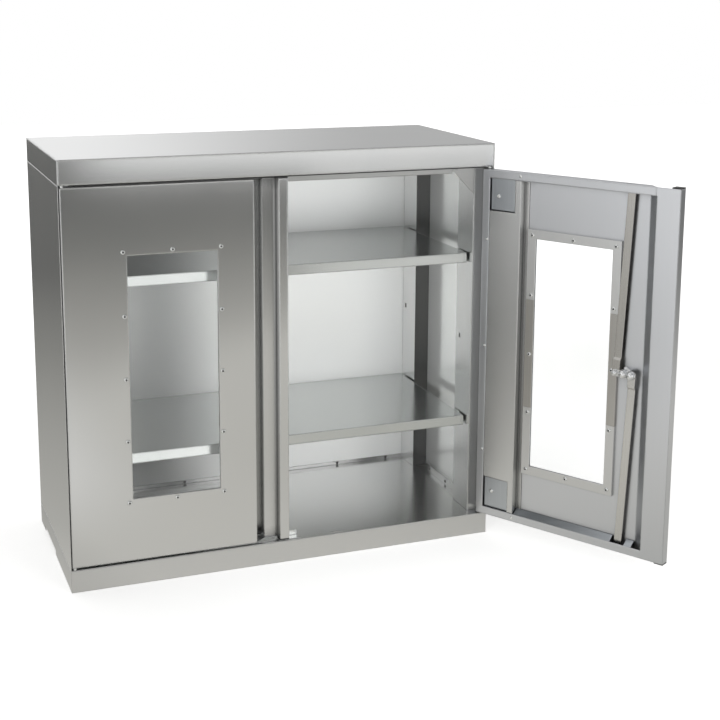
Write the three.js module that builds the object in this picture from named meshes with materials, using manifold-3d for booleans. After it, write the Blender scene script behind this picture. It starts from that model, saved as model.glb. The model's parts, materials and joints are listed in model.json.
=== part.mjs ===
// Two-door stainless steel medical cabinet with clear panes, shelves and a rod lock.
// Millimetres, +Z up. The origin is on the floor under the middle of the carcass,
// +X runs to the right as seen from the front, and the front faces -Y.
import * as THREE from "three";
import { mergeVertices } from "three/addons/utils/BufferGeometryUtils.js";
import Module from "manifold-3d";

const wasm = await Module();
wasm.setup();

// Carcass sizes.
const CABINET_WIDTH = 900;
const CABINET_DEPTH = 400;
const CABINET_HEIGHT = 855;
const SHEET = 1;
const SEAT = 0.3;
const COVER_SKIRT = 48;
const PLINTH_HEIGHT = 45;
const PLINTH_FLANGE = 20;
const FOOT_NOTCH_LENGTH = 140;
const FOOT_NOTCH_HEIGHT = 10;
const FOOT_NOTCH_FROM_BACK = 60;
const SIDE_BACK_FLANGE = 16;
const FLOOR_BACK_UPSTAND = 8;
const FLOOR_SIDE_UPSTAND = 14;
const FLOOR_SIDE_UPSTAND_INSET = 10;
const FLOOR_BEAM_WIDTH = 60;
const FLOOR_BEAM_FLANGE = 14;
const FLOOR_BEAM_END_GAP = 4;

// Uprights, their slots and the shelves.
const UPRIGHT_SHEET = 1.2;
const UPRIGHT_RETURN = 12;
const UPRIGHT_WIDTH = 35;
const UPRIGHT_DEPTH = 74;
const SLOT_HEIGHT = 10;
const SLOT_WIDTH = 7;
const LAST_SLOT_BELOW_SKIRT = 18;
const SLOT_COUNT = 4;
const FIRST_SLOT_Z = 249;
const SLOT_FROM_UPRIGHT_FRONT = 56;
const LOWER_SHELF_SLOT = 0;
const UPPER_SHELF_SLOT = 2;
const SHELF_ABOVE_SLOT = 9;
const SHELF_LIP = 21;
const SHELF_SETBACK = 43;
const SHELF_END_GAP = 2;
const CLIP_SHEET = 1.5;
const CLIP_WIDTH = 14;
const CLIP_TOP = 8;
const CLIP_BOTTOM = 14;
const CLIP_ARM = 12;
const CLIP_TONGUE_REACH = 3;
const CLIP_TONGUE_PLAY = 0.6;

// Top rail, corner gussets and the door stop on the floor.
const STOP_LIP = 15;
const GUSSET_WIDTH = 50;
const GUSSET_HEIGHT = 60;
const GUSSET_HOLE_RADIUS = 2.6;
const GUSSET_HOLE_INSET = 9;
const STOP_BRACKET_WIDTH = 44;
const STOP_BRACKET_HEIGHT = 12;
const STOP_BRACKET_FROM_FRONT = 4;

// Door leaves.
const DOOR_SHEET = 1;
const DOOR_DEPTH = 20;
const DOOR_SIDE_GAP = 2.3;
const DOOR_CENTRE_GAP = 3;
const DOOR_END_GAP = 5;
const DOOR_STOP_GAP = 1.5;
const DOOR_RETURN_LIP = 17;
const GROOVE_WIDTH = 28;
const SLANT_WIDTH = 23;
const PULL_RAIL_WIDTH = 19;
const PULL_RAIL_SHEET = 1.2;
const RAIL_CAP_THICKNESS = 2;
const RAIL_CAP_PLUG = 7;
const RIGHT_DOOR_OPEN_DEGREES = 120;

// Window, pane, retaining strips and their screws.
const WINDOW_HEIGHT = 488;
const WINDOW_FROM_HINGE_EDGE = 123;
const WINDOW_FROM_FREE_EDGE = 144.7;
const WINDOW_FROM_DOOR_BOTTOM = 127.5;
const PANE_THICKNESS = 4;
const PANE_OVERLAP = 4.5;
const RETAINER_WIDTH = 19;
const RETAINER_SHEET = 1.2;
const RETAINER_JOINT_OVERLAP = 10;
const SCREW_FROM_WINDOW = 7.6;
const SCREW_ROWS = 5;
const SCREW_RADIUS = 2;
const SCREW_HEAD_RADIUS = 3.8;
const SCREW_HEAD_HEIGHT = 2.2;
const SCREW_HOLE_PLAY = 0.4;
const HEAD_SHOULDER_WIDTH = 0.87;
const HEAD_SHOULDER_RISE = 0.71;

// Hinge stile and pivots.
const STILE_SHEET = 1;
const STILE_FOOT = 11;
const STILE_RETAINER_GAP = 1;
const STILE_RIM = 14;
const HINGE_RECESS_HEIGHT = 85;
const PIVOT_FROM_EDGE = 5;
const PIVOT_FROM_FACE = 4;
const PIVOT_RADIUS = 2.5;
const PIVOT_PLAY = 0.25;
const PIVOT_ENGAGEMENT = 8;
const PIVOT_SHOULDER_RADIUS = 3.7;
const PIVOT_PLATE_LENGTH = 34;
const PIVOT_PLATE_WIDTH = 13;
const PIVOT_PLATE_THICKNESS = 4;

// Rod lock of the right-hand leaf.
const LOCK_FROM_FREE_EDGE = 106;
const BARREL_RADIUS = 9;
const BARREL_FLANGE_RADIUS = 14;
const BARREL_FLANGE_THICKNESS = 3;
const BARREL_NUT_RADIUS = 13;
const BARREL_NUT_THICKNESS = 4;
const BARREL_PLAY = 0.4;
const SPINDLE_RADIUS = 5;
const SPINDLE_CAP_RADIUS = 8.4;
const SPINDLE_CAP_HEIGHT = 2;
const KNOB_RADIUS = 13;
const KNOB_BASE_HEIGHT = 7;
const KNOB_GRIP_WIDTH = 9;
const KNOB_GRIP_HEIGHT = 13;
const CRANK_RADIUS = 18;
const CRANK_PIN_RADIUS = 3;
const CRANK_PIN_HEAD = 0.8;
const CAM_THICKNESS = 1.8;
const CAM_END_RADIUS = 7;
const ROD_WIDTH = 16;
const ROD_THICKNESS = 2;
const ROD_FROM_RETAINER = 1.7;
const ROD_JOG = 4;
const ROD_JOG_START = 26;
const ROD_TIP_INSET = 0.5;
const ROD_SWAY = 5;
const ROD_PLAY = 0.8;
const STRIKE_PLAY = 1.5;

// Facets of round pieces, the reach of a cut past a face, and the weld of shared vertices.
const PIN_FACETS = 16;
const SCREW_FACETS = 8;
const NUT_FACETS = 6;
const ARC_FACETS = 10;
const OVERCUT = 5;
const WELD = 1e-4;

// Places worked out from the sizes above.
const HALF_WIDTH = CABINET_WIDTH / 2;
const FRONT = -CABINET_DEPTH / 2;
const BACK = CABINET_DEPTH / 2;
const SIDE_INNER = HALF_WIDTH - SHEET;
const LINER_EDGE = SIDE_INNER - SEAT;
const FLOOR_BOTTOM = PLINTH_HEIGHT + SEAT;
const FLOOR_TOP = FLOOR_BOTTOM + SHEET;
const SKIRT_BOTTOM = CABINET_HEIGHT - COVER_SKIRT;
const COVER_UNDERSIDE = CABINET_HEIGHT - SHEET - SEAT;
const BACK_PANEL_FRONT = BACK - 2 * SHEET - SEAT;
const FLOOR_BACK = BACK_PANEL_FRONT - SEAT;
const STOP_FRONT = FRONT + DOOR_DEPTH + DOOR_STOP_GAP;
const UPRIGHT_FRONT = STOP_FRONT + SHEET + SEAT;
const UPRIGHT_WEB = HALF_WIDTH - UPRIGHT_WIDTH;
const REAR_UPRIGHT_FRONT = FLOOR_BACK - SHEET - SEAT - UPRIGHT_DEPTH;
const SLOT_PITCH = (SKIRT_BOTTOM - LAST_SLOT_BELOW_SKIRT - FIRST_SLOT_Z) / (SLOT_COUNT - 1);

const DOOR_WIDTH = SIDE_INNER - DOOR_SIDE_GAP - DOOR_CENTRE_GAP / 2;
const DOOR_BOTTOM = FLOOR_TOP + DOOR_END_GAP;
const DOOR_TOP = SKIRT_BOTTOM - DOOR_END_GAP;
const LIP_START = DOOR_WIDTH - PULL_RAIL_WIDTH - GROOVE_WIDTH;
const FACE_END = LIP_START - SLANT_WIDTH;
const LIP_FRONT = DOOR_DEPTH - DOOR_SHEET;
const SKIN_SEAT = DOOR_SHEET + SEAT;
const WINDOW_LEFT = WINDOW_FROM_HINGE_EDGE;
const WINDOW_RIGHT = DOOR_WIDTH - WINDOW_FROM_FREE_EDGE;
const WINDOW_BOTTOM = DOOR_BOTTOM + WINDOW_FROM_DOOR_BOTTOM;
const WINDOW_TOP = WINDOW_BOTTOM + WINDOW_HEIGHT;
const SCREW_RISE = (WINDOW_HEIGHT + 2 * SCREW_FROM_WINDOW) / (SCREW_ROWS - 1);
const RETAINER_FRONT = SKIN_SEAT + PANE_THICKNESS + SEAT;
const RETAINER_BACK = RETAINER_FRONT + RETAINER_SHEET;
const STILE_EDGE = WINDOW_LEFT - RETAINER_WIDTH - STILE_RETAINER_GAP - STILE_FOOT;
const PIVOT_X = SIDE_INNER - DOOR_SIDE_GAP - PIVOT_FROM_EDGE;
const PIVOT_Y = FRONT + PIVOT_FROM_FACE;

const LOCK_X = DOOR_WIDTH - LOCK_FROM_FREE_EDGE;
const LOCK_Z = (WINDOW_BOTTOM + WINDOW_TOP) / 2;
const ROD_FRONT = RETAINER_BACK + ROD_FROM_RETAINER;
const ROD_BACK = ROD_FRONT + ROD_THICKNESS;
const ROD_HEAD_FRONT = ROD_FRONT + ROD_JOG;
const ROD_HEAD_BACK = ROD_BACK + ROD_JOG;
const CAM_FRONT = ROD_HEAD_BACK + SEAT;
const CAM_BACK = CAM_FRONT + CAM_THICKNESS;
const STRIKE_X = DOOR_CENTRE_GAP / 2 + LOCK_FROM_FREE_EDGE;

// Finishes.
function finish(color, roughness, metalness) {
  return new THREE.MeshStandardMaterial({ color, roughness, metalness });
}
const BRUSHED = finish(0xb4b5b2, 0.35, 1);
const BRIGHT = finish(0xd4d6d6, 0.2, 1);
const CHROME = finish(0xe2e4e6, 0.08, 1);
const BLACK_CAP = finish(0x161617, 0.5, 0);
const CLEAR_PANE = new THREE.MeshStandardMaterial({
  color: 0xeef4f3,
  roughness: 0.03,
  metalness: 0,
  transparent: true,
  opacity: 0.2,
});

// Solids.
function ordered(a, b) {
  return [Math.min(a, b), Math.max(a, b)];
}

function solidOf(geometry) {
  const bare = new THREE.BufferGeometry();
  const spread = geometry.index ? geometry.toNonIndexed() : geometry;
  bare.setAttribute("position", spread.getAttribute("position"));
  const welded = mergeVertices(bare, WELD);
  const mesh = new wasm.Mesh({
    numProp: 3,
    vertProperties: welded.attributes.position.array,
    triVerts: new Uint32Array(welded.index.array),
  });
  return new wasm.Manifold(mesh);
}

function block([x0, x1], [y0, y1], [z0, z1]) {
  const box = new THREE.BoxGeometry(x1 - x0, y1 - y0, z1 - z0);
  box.translate((x0 + x1) / 2, (y0 + y1) / 2, (z0 + z1) / 2);
  return solidOf(box);
}

function shapeOf(points) {
  return new THREE.Shape(points.map(([a, b]) => new THREE.Vector2(a, b)));
}

function extruded(shape, length) {
  return new THREE.ExtrudeGeometry(shape, {
    depth: length,
    bevelEnabled: false,
    curveSegments: ARC_FACETS,
  });
}

// A plan outline in X and Y, raised from z0 to z1.
function planPrism(points, [z0, z1]) {
  return solidOf(extruded(shapeOf(points), z1 - z0).translate(0, 0, z0));
}

// A front outline in X and Z, from y0 to y1.
function frontPrism(shape, [y0, y1]) {
  const geometry = extruded(shape, y1 - y0);
  geometry.rotateX(Math.PI / 2);
  return solidOf(geometry.translate(0, y1, 0));
}

// A side outline in Y and Z, from x0 to x1.
function sidePrism(points, [x0, x1]) {
  const turn = new THREE.Matrix4().set(0, 0, 1, x0, 1, 0, 0, 0, 0, 1, 0, 0, 0, 0, 0, 1);
  return solidOf(extruded(shapeOf(points), x1 - x0).applyMatrix4(turn));
}

function uprightPin(x, y, [z0, z1], radius) {
  const pin = new THREE.CylinderGeometry(radius, radius, z1 - z0, PIN_FACETS);
  pin.rotateX(Math.PI / 2);
  return solidOf(pin.translate(x, y, (z0 + z1) / 2));
}

function throughPin(x, z, [y0, y1], radius, facets = PIN_FACETS) {
  const pin = new THREE.CylinderGeometry(radius, radius, y1 - y0, facets);
  return solidOf(pin.translate(x, (y0 + y1) / 2, z));
}

// A screw head whose flat side is at y and which bulges towards the sign of height.
function domeHead(x, z, y, height, radius) {
  const rise = Math.abs(height);
  const profile = [
    new THREE.Vector2(0, 0),
    new THREE.Vector2(radius, 0),
    new THREE.Vector2(radius * HEAD_SHOULDER_WIDTH, rise * HEAD_SHOULDER_RISE),
    new THREE.Vector2(0, rise),
  ];
  const dome = new THREE.LatheGeometry(profile, SCREW_FACETS);
  if (height < 0) {
    dome.rotateX(Math.PI);
  }
  return solidOf(dome.translate(x, y, z));
}

function joined(solids) {
  return solids.reduce((whole, next) => whole.add(next));
}

function cutBy(solid, cutters) {
  return cutters.reduce((rest, cutter) => rest.subtract(cutter), solid);
}

// The joined surface without the vertices that joining leaves inside flat faces.
function geometryOf(solid) {
  const { vertProperties, triVerts } = solid.asOriginal().simplify(WELD).getMesh();
  const geometry = new THREE.BufferGeometry();
  geometry.setAttribute("position", new THREE.BufferAttribute(vertProperties, 3));
  geometry.setIndex(new THREE.BufferAttribute(triVerts, 1));
  const faceted = geometry.toNonIndexed();
  faceted.computeVertexNormals();
  return faceted;
}

function piece(name, solid, material) {
  const mesh = new THREE.Mesh(geometryOf(solid), material);
  mesh.name = name;
  return mesh;
}

// The right-hand piece as modelled, and its mirror image on the left.
function mirroredPair(group, name, solid, material) {
  const right = piece(`right_${name}`, solid, material);
  const left = piece(`left_${name}`, solid, material);
  left.scale.x = -1;
  group.add(right, left);
}

// Carcass.
function topCover() {
  const pan = block([-HALF_WIDTH, HALF_WIDTH], [FRONT, BACK], [SKIRT_BOTTOM, CABINET_HEIGHT]);
  const hollow = block(
    [-SIDE_INNER, SIDE_INNER],
    [FRONT + SHEET, BACK - SHEET],
    [SKIRT_BOTTOM - OVERCUT, CABINET_HEIGHT - SHEET],
  );
  return pan.subtract(hollow);
}

function sidePanel() {
  const height = [PLINTH_HEIGHT + SEAT, SKIRT_BOTTOM - SEAT];
  const panel = block([SIDE_INNER, HALF_WIDTH], [FRONT, BACK], height);
  const backFlange = block([HALF_WIDTH - SIDE_BACK_FLANGE, HALF_WIDTH], [BACK - SHEET, BACK], height);
  return panel.add(backFlange);
}

function backPanel() {
  return block(
    [-LINER_EDGE, LINER_EDGE],
    [BACK_PANEL_FRONT, BACK_PANEL_FRONT + SHEET],
    [FLOOR_BOTTOM, COVER_UNDERSIDE],
  );
}

// Holes in the floor, the front of the plinth and the top rail for the pivots and the rods.
function pivotHoles(height) {
  const radius = PIVOT_RADIUS + PIVOT_PLAY;
  return [-PIVOT_X, PIVOT_X].map((x) => uprightPin(x, PIVOT_Y, height, radius));
}

function strikeHole(height) {
  const half = ROD_WIDTH / 2 + ROD_SWAY;
  const across = [STRIKE_X - half, STRIKE_X + half];
  return block(across, [FRONT + ROD_FRONT - STRIKE_PLAY, FRONT + ROD_BACK + STRIKE_PLAY], height);
}

function floorPanel() {
  const across = [-LINER_EDGE, LINER_EDGE];
  const sheet = block(across, [FRONT, FLOOR_BACK], [FLOOR_BOTTOM, FLOOR_TOP]);
  const backRise = [FLOOR_BOTTOM, FLOOR_TOP + FLOOR_BACK_UPSTAND];
  const back = block(across, [FLOOR_BACK - SHEET, FLOOR_BACK], backRise);
  const along = [UPRIGHT_FRONT + UPRIGHT_DEPTH + SEAT, REAR_UPRIGHT_FRONT - SEAT];
  const sideRise = [FLOOR_BOTTOM, FLOOR_TOP + FLOOR_SIDE_UPSTAND];
  const sideEdge = LINER_EDGE - FLOOR_SIDE_UPSTAND_INSET;
  const right = block([sideEdge - SHEET, sideEdge], along, sideRise);
  const left = block([-sideEdge, SHEET - sideEdge], along, sideRise);
  const through = [FLOOR_BOTTOM - OVERCUT, FLOOR_TOP + OVERCUT];
  return cutBy(joined([sheet, back, right, left]), [...pivotHoles(through), strikeHole(through)]);
}

function floorBeam() {
  const half = FLOOR_BEAM_WIDTH / 2;
  const ends = PLINTH_FLANGE + FLOOR_BEAM_END_GAP;
  const along = [FRONT + ends, BACK - ends];
  const trough = block([-half, half], along, [0, PLINTH_HEIGHT]);
  const hollow = block(
    [SHEET - half, half - SHEET],
    [FRONT, BACK],
    [SHEET, PLINTH_HEIGHT + OVERCUT],
  );
  const flange = half + FLOOR_BEAM_FLANGE;
  const top = [PLINTH_HEIGHT - SHEET, PLINTH_HEIGHT];
  return joined([
    trough.subtract(hollow),
    block([-flange, SHEET - half], along, top),
    block([half - SHEET, flange], along, top),
  ]);
}

function plinthStrip(outerFace, innerFace, flangeFace) {
  const across = [-HALF_WIDTH, HALF_WIDTH];
  const between = [-LINER_EDGE, LINER_EDGE];
  const flange = ordered(outerFace, flangeFace);
  return joined([
    block(across, ordered(outerFace, innerFace), [0, PLINTH_HEIGHT]),
    block(between, flange, [PLINTH_HEIGHT - SHEET, PLINTH_HEIGHT]),
    block(between, flange, [0, SHEET]),
  ]);
}

function plinthFront() {
  const strip = plinthStrip(FRONT, FRONT + SHEET, FRONT + PLINTH_FLANGE);
  const through = [PLINTH_HEIGHT - SHEET - OVERCUT, PLINTH_HEIGHT + OVERCUT];
  return cutBy(strip, [...pivotHoles(through), strikeHole(through)]);
}

function plinthBack() {
  return plinthStrip(BACK, BACK - SHEET, BACK - PLINTH_FLANGE);
}

function plinthSide() {
  const wall = block(
    [SIDE_INNER, HALF_WIDTH],
    [FRONT + SHEET + SEAT, BACK - SHEET - SEAT],
    [0, PLINTH_HEIGHT],
  );
  const flange = block(
    [HALF_WIDTH - PLINTH_FLANGE, HALF_WIDTH],
    [FRONT + PLINTH_FLANGE + SEAT, BACK - PLINTH_FLANGE - SEAT],
    [PLINTH_HEIGHT - SHEET, PLINTH_HEIGHT],
  );
  const notchBack = BACK - FOOT_NOTCH_FROM_BACK;
  const notch = block(
    [SIDE_INNER - OVERCUT, HALF_WIDTH + OVERCUT],
    [notchBack - FOOT_NOTCH_LENGTH, notchBack],
    [-OVERCUT, FOOT_NOTCH_HEIGHT],
  );
  return wall.add(flange).subtract(notch);
}

// A slotted channel whose web faces the inside of the cabinet.
function upright(front) {
  const height = [FLOOR_TOP + SEAT, COVER_UNDERSIDE];
  const web = UPRIGHT_WEB;
  const back = front + UPRIGHT_DEPTH;
  const slotY = front + SLOT_FROM_UPRIGHT_FRONT;
  const channel = joined([
    block([web, web + UPRIGHT_SHEET], [front, back], height),
    block([web, LINER_EDGE], [front, front + UPRIGHT_SHEET], height),
    block([web, web + UPRIGHT_RETURN], [back - UPRIGHT_SHEET, back], height),
  ]);
  const slots = [];
  for (let i = 0; i < SLOT_COUNT; i += 1) {
    const z = slotHeight(i);
    slots.push(
      block(
        [web - OVERCUT, web + UPRIGHT_SHEET + OVERCUT],
        [slotY - SLOT_WIDTH / 2, slotY + SLOT_WIDTH / 2],
        [z - SLOT_HEIGHT / 2, z + SLOT_HEIGHT / 2],
      ),
    );
  }
  return cutBy(channel, slots);
}

function slotHeight(index) {
  return FIRST_SLOT_Z + index * SLOT_PITCH;
}

function topRail() {
  const stopEdge = UPRIGHT_WEB - GUSSET_WIDTH - 2 * SEAT;
  const shelf = block(
    [-LINER_EDGE, LINER_EDGE],
    [FRONT + SHEET + SEAT, STOP_FRONT + SHEET],
    [SKIRT_BOTTOM, SKIRT_BOTTOM + SHEET],
  );
  const web = block(
    [-LINER_EDGE, LINER_EDGE],
    [STOP_FRONT, STOP_FRONT + SHEET],
    [SKIRT_BOTTOM, COVER_UNDERSIDE],
  );
  const stop = block(
    [-stopEdge, stopEdge],
    [STOP_FRONT, STOP_FRONT + SHEET],
    [SKIRT_BOTTOM - STOP_LIP, SKIRT_BOTTOM + SHEET],
  );
  const through = [SKIRT_BOTTOM - OVERCUT, SKIRT_BOTTOM + SHEET + OVERCUT];
  return cutBy(joined([shelf, web, stop]), [...pivotHoles(through), strikeHole(through)]);
}

function gusset() {
  const outer = UPRIGHT_WEB - SEAT;
  const inner = outer - GUSSET_WIDTH;
  const top = SKIRT_BOTTOM - SEAT;
  const outline = shapeOf([
    [inner, top - GUSSET_HOLE_INSET],
    [outer, top - GUSSET_HEIGHT],
    [outer, top],
    [inner, top],
  ]);
  const plate = frontPrism(outline, [STOP_FRONT, STOP_FRONT + SHEET]);
  const through = [STOP_FRONT - OVERCUT, STOP_FRONT + SHEET + OVERCUT];
  const holeZ = top - GUSSET_HOLE_INSET / 2;
  const holes = [inner + GUSSET_HOLE_INSET, outer - GUSSET_HOLE_INSET].map((x) =>
    throughPin(x, holeZ, through, GUSSET_HOLE_RADIUS, SCREW_FACETS),
  );
  return cutBy(plate, holes);
}

function doorStop() {
  const across = [-STOP_BRACKET_WIDTH / 2, STOP_BRACKET_WIDTH / 2];
  const base = FLOOR_TOP + SEAT;
  return joined([
    block(across, [FRONT + STOP_BRACKET_FROM_FRONT, STOP_FRONT + SHEET], [base, base + SHEET]),
    block(across, [STOP_FRONT, STOP_FRONT + SHEET], [base, base + STOP_BRACKET_HEIGHT]),
  ]);
}

// A shelf is an upturned tray between the uprights.
function shelf(slot) {
  const top = slotHeight(slot) + SHELF_ABOVE_SLOT;
  const end = UPRIGHT_WEB - SEAT - CLIP_SHEET - SHELF_END_GAP;
  const front = FRONT + SHELF_SETBACK;
  const back = FLOOR_BACK - SHEET - SEAT;
  const tray = block([-end, end], [front, back], [top - SHELF_LIP, top]);
  const hollow = block(
    [SHEET - end, end - SHEET],
    [front + SHEET, back - SHEET],
    [top - SHELF_LIP - OVERCUT, top - SHEET],
  );
  return tray.subtract(hollow);
}

function shelfClip(uprightFront, slot) {
  const z = slotHeight(slot);
  const slotY = uprightFront + SLOT_FROM_UPRIGHT_FRONT;
  const face = UPRIGHT_WEB - SEAT;
  const armTop = z + SHELF_ABOVE_SLOT - SHELF_LIP - SEAT;
  const across = [slotY - CLIP_WIDTH / 2, slotY + CLIP_WIDTH / 2];
  const tongue = SLOT_WIDTH / 2 - CLIP_TONGUE_PLAY;
  const tongueRise = SLOT_HEIGHT / 2 - CLIP_TONGUE_PLAY;
  return joined([
    block([face - CLIP_SHEET, face], across, [z - CLIP_BOTTOM, z + CLIP_TOP]),
    block([face - CLIP_ARM, face], across, [armTop - CLIP_SHEET, armTop]),
    block(
      [face - CLIP_SHEET, UPRIGHT_WEB + UPRIGHT_SHEET + CLIP_TONGUE_REACH],
      [slotY - tongue, slotY + tongue],
      [z - tongueRise, z + tongueRise],
    ),
  ]);
}

// Door leaf, in its own frame: X from the hinge edge, Y inwards from the face.
function screwPlaces() {
  const left = WINDOW_LEFT - SCREW_FROM_WINDOW;
  const right = WINDOW_RIGHT + SCREW_FROM_WINDOW;
  const bottom = WINDOW_BOTTOM - SCREW_FROM_WINDOW;
  const middle = (left + right) / 2;
  const places = [
    [middle, bottom],
    [middle, WINDOW_TOP + SCREW_FROM_WINDOW],
  ];
  for (let row = 0; row < SCREW_ROWS; row += 1) {
    places.push([left, bottom + row * SCREW_RISE], [right, bottom + row * SCREW_RISE]);
  }
  return places;
}

function doorSkin(locks) {
  const height = [DOOR_BOTTOM, DOOR_TOP];
  const run = SLANT_WIDTH / DOOR_DEPTH;
  const slantShift = DOOR_SHEET * Math.hypot(1, run);
  const outline = [
    [0, 0],
    [FACE_END, 0],
    [LIP_START, DOOR_DEPTH],
    [0, DOOR_DEPTH],
  ];
  const hollow = [
    [DOOR_SHEET, DOOR_SHEET],
    [FACE_END + run * DOOR_SHEET - slantShift, DOOR_SHEET],
    [LIP_START + run * OVERCUT - slantShift, DOOR_DEPTH + OVERCUT],
    [DOOR_SHEET, DOOR_DEPTH + OVERCUT],
  ];
  const pan = planPrism(outline, height).subtract(
    planPrism(hollow, [DOOR_BOTTOM + DOOR_SHEET, DOOR_TOP - DOOR_SHEET]),
  );
  const lipDepth = [LIP_FRONT, DOOR_DEPTH];
  const insideSlant = LIP_START - (slantShift + run * DOOR_SHEET) / 2;
  const folded = joined([
    pan,
    block([insideSlant, DOOR_WIDTH], lipDepth, height),
    block([0, DOOR_RETURN_LIP], lipDepth, height),
    block([0, LIP_START], lipDepth, [DOOR_TOP - DOOR_RETURN_LIP, DOOR_TOP]),
    block([0, LIP_START], lipDepth, [DOOR_BOTTOM, DOOR_BOTTOM + DOOR_RETURN_LIP]),
  ]);
  const skinCut = [-OVERCUT, DOOR_SHEET + OVERCUT];
  const cutters = screwPlaces().map(([x, z]) =>
    throughPin(x, z, skinCut, SCREW_RADIUS + SCREW_HOLE_PLAY, SCREW_FACETS),
  );
  cutters.push(block([WINDOW_LEFT, WINDOW_RIGHT], skinCut, [WINDOW_BOTTOM, WINDOW_TOP]));
  const ends = [
    [DOOR_BOTTOM - OVERCUT, DOOR_BOTTOM + DOOR_SHEET + OVERCUT],
    [DOOR_TOP - DOOR_SHEET - OVERCUT, DOOR_TOP + OVERCUT],
  ];
  for (const end of ends) {
    cutters.push(uprightPin(PIVOT_FROM_EDGE, PIVOT_FROM_FACE, end, PIVOT_RADIUS + SEAT));
    if (locks) {
      const half = ROD_WIDTH / 2 + ROD_SWAY;
      cutters.push(block([LOCK_X - half, LOCK_X + half], [ROD_FRONT - ROD_PLAY, ROD_BACK + ROD_PLAY], end));
    }
  }
  if (locks) {
    cutters.push(throughPin(LOCK_X, LOCK_Z, skinCut, BARREL_RADIUS + SEAT));
  }
  return cutBy(folded, cutters);
}

function pullRail() {
  const rear = LIP_FRONT - SEAT;
  const height = [DOOR_BOTTOM, DOOR_TOP];
  const outer = block([DOOR_WIDTH - PULL_RAIL_WIDTH, DOOR_WIDTH], [0, rear], height);
  const channel = block(
    [DOOR_WIDTH - PULL_RAIL_WIDTH + PULL_RAIL_SHEET, DOOR_WIDTH - PULL_RAIL_SHEET],
    [PULL_RAIL_SHEET, rear + OVERCUT],
    [DOOR_BOTTOM - OVERCUT, DOOR_TOP + OVERCUT],
  );
  return outer.subtract(channel);
}

// A cap over one end of the pull rail; direction is 1 at the top and -1 at the bottom.
function railCap(end, direction) {
  const wall = PULL_RAIL_SHEET + SEAT;
  const rear = LIP_FRONT - SEAT;
  const outer = end + direction * (SEAT + RAIL_CAP_THICKNESS);
  return joined([
    block([DOOR_WIDTH - PULL_RAIL_WIDTH, DOOR_WIDTH], [0, rear], ordered(end + direction * SEAT, outer)),
    block(
      [DOOR_WIDTH - PULL_RAIL_WIDTH + wall, DOOR_WIDTH - wall],
      [wall, rear - SEAT],
      ordered(end - direction * RAIL_CAP_PLUG, outer),
    ),
  ]);
}

function hingeStile() {
  const height = [DOOR_BOTTOM + DOOR_SHEET + SEAT, DOOR_TOP - DOOR_SHEET - SEAT];
  const rear = LIP_FRONT - SEAT;
  const wallFace = STILE_EDGE - STILE_SHEET;
  const panelFront = rear - STILE_SHEET;
  const folded = joined([
    block([SKIN_SEAT, STILE_EDGE], [panelFront, rear], height),
    block([wallFace, STILE_EDGE], [SKIN_SEAT, rear], height),
    block([wallFace, STILE_EDGE + STILE_FOOT], [SKIN_SEAT, SKIN_SEAT + STILE_SHEET], height),
  ]);
  const recess = [-OVERCUT, STILE_EDGE - STILE_RIM];
  const depth = [panelFront - STILE_SHEET, rear + OVERCUT];
  return cutBy(folded, [
    block(recess, depth, [DOOR_TOP - HINGE_RECESS_HEIGHT, DOOR_TOP]),
    block(recess, depth, [DOOR_BOTTOM, DOOR_BOTTOM + HINGE_RECESS_HEIGHT]),
  ]);
}

function pivot(direction) {
  const flange = direction > 0 ? DOOR_TOP - SKIN_SEAT : DOOR_BOTTOM + SKIN_SEAT;
  const bearing = direction > 0 ? SKIRT_BOTTOM : FLOOR_TOP;
  const plateEnd = flange - direction * PIVOT_PLATE_THICKNESS;
  const solids = [
    block(
      [SKIN_SEAT, SKIN_SEAT + PIVOT_PLATE_LENGTH],
      [SKIN_SEAT, SKIN_SEAT + PIVOT_PLATE_WIDTH],
      ordered(flange, plateEnd),
    ),
    uprightPin(
      PIVOT_FROM_EDGE,
      PIVOT_FROM_FACE,
      ordered(plateEnd, bearing + direction * PIVOT_ENGAGEMENT),
      PIVOT_RADIUS,
    ),
  ];
  const doorEnd = direction > 0 ? DOOR_TOP : DOOR_BOTTOM;
  const shoulder = ordered(doorEnd + direction * SEAT, bearing - direction * SEAT);
  solids.push(uprightPin(PIVOT_FROM_EDGE, PIVOT_FROM_FACE, shoulder, PIVOT_SHOULDER_RADIUS));
  return joined(solids);
}

function pane() {
  return block(
    [WINDOW_LEFT - PANE_OVERLAP, WINDOW_RIGHT + PANE_OVERLAP],
    [SKIN_SEAT, SKIN_SEAT + PANE_THICKNESS],
    [WINDOW_BOTTOM - PANE_OVERLAP, WINDOW_TOP + PANE_OVERLAP],
  );
}

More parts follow.
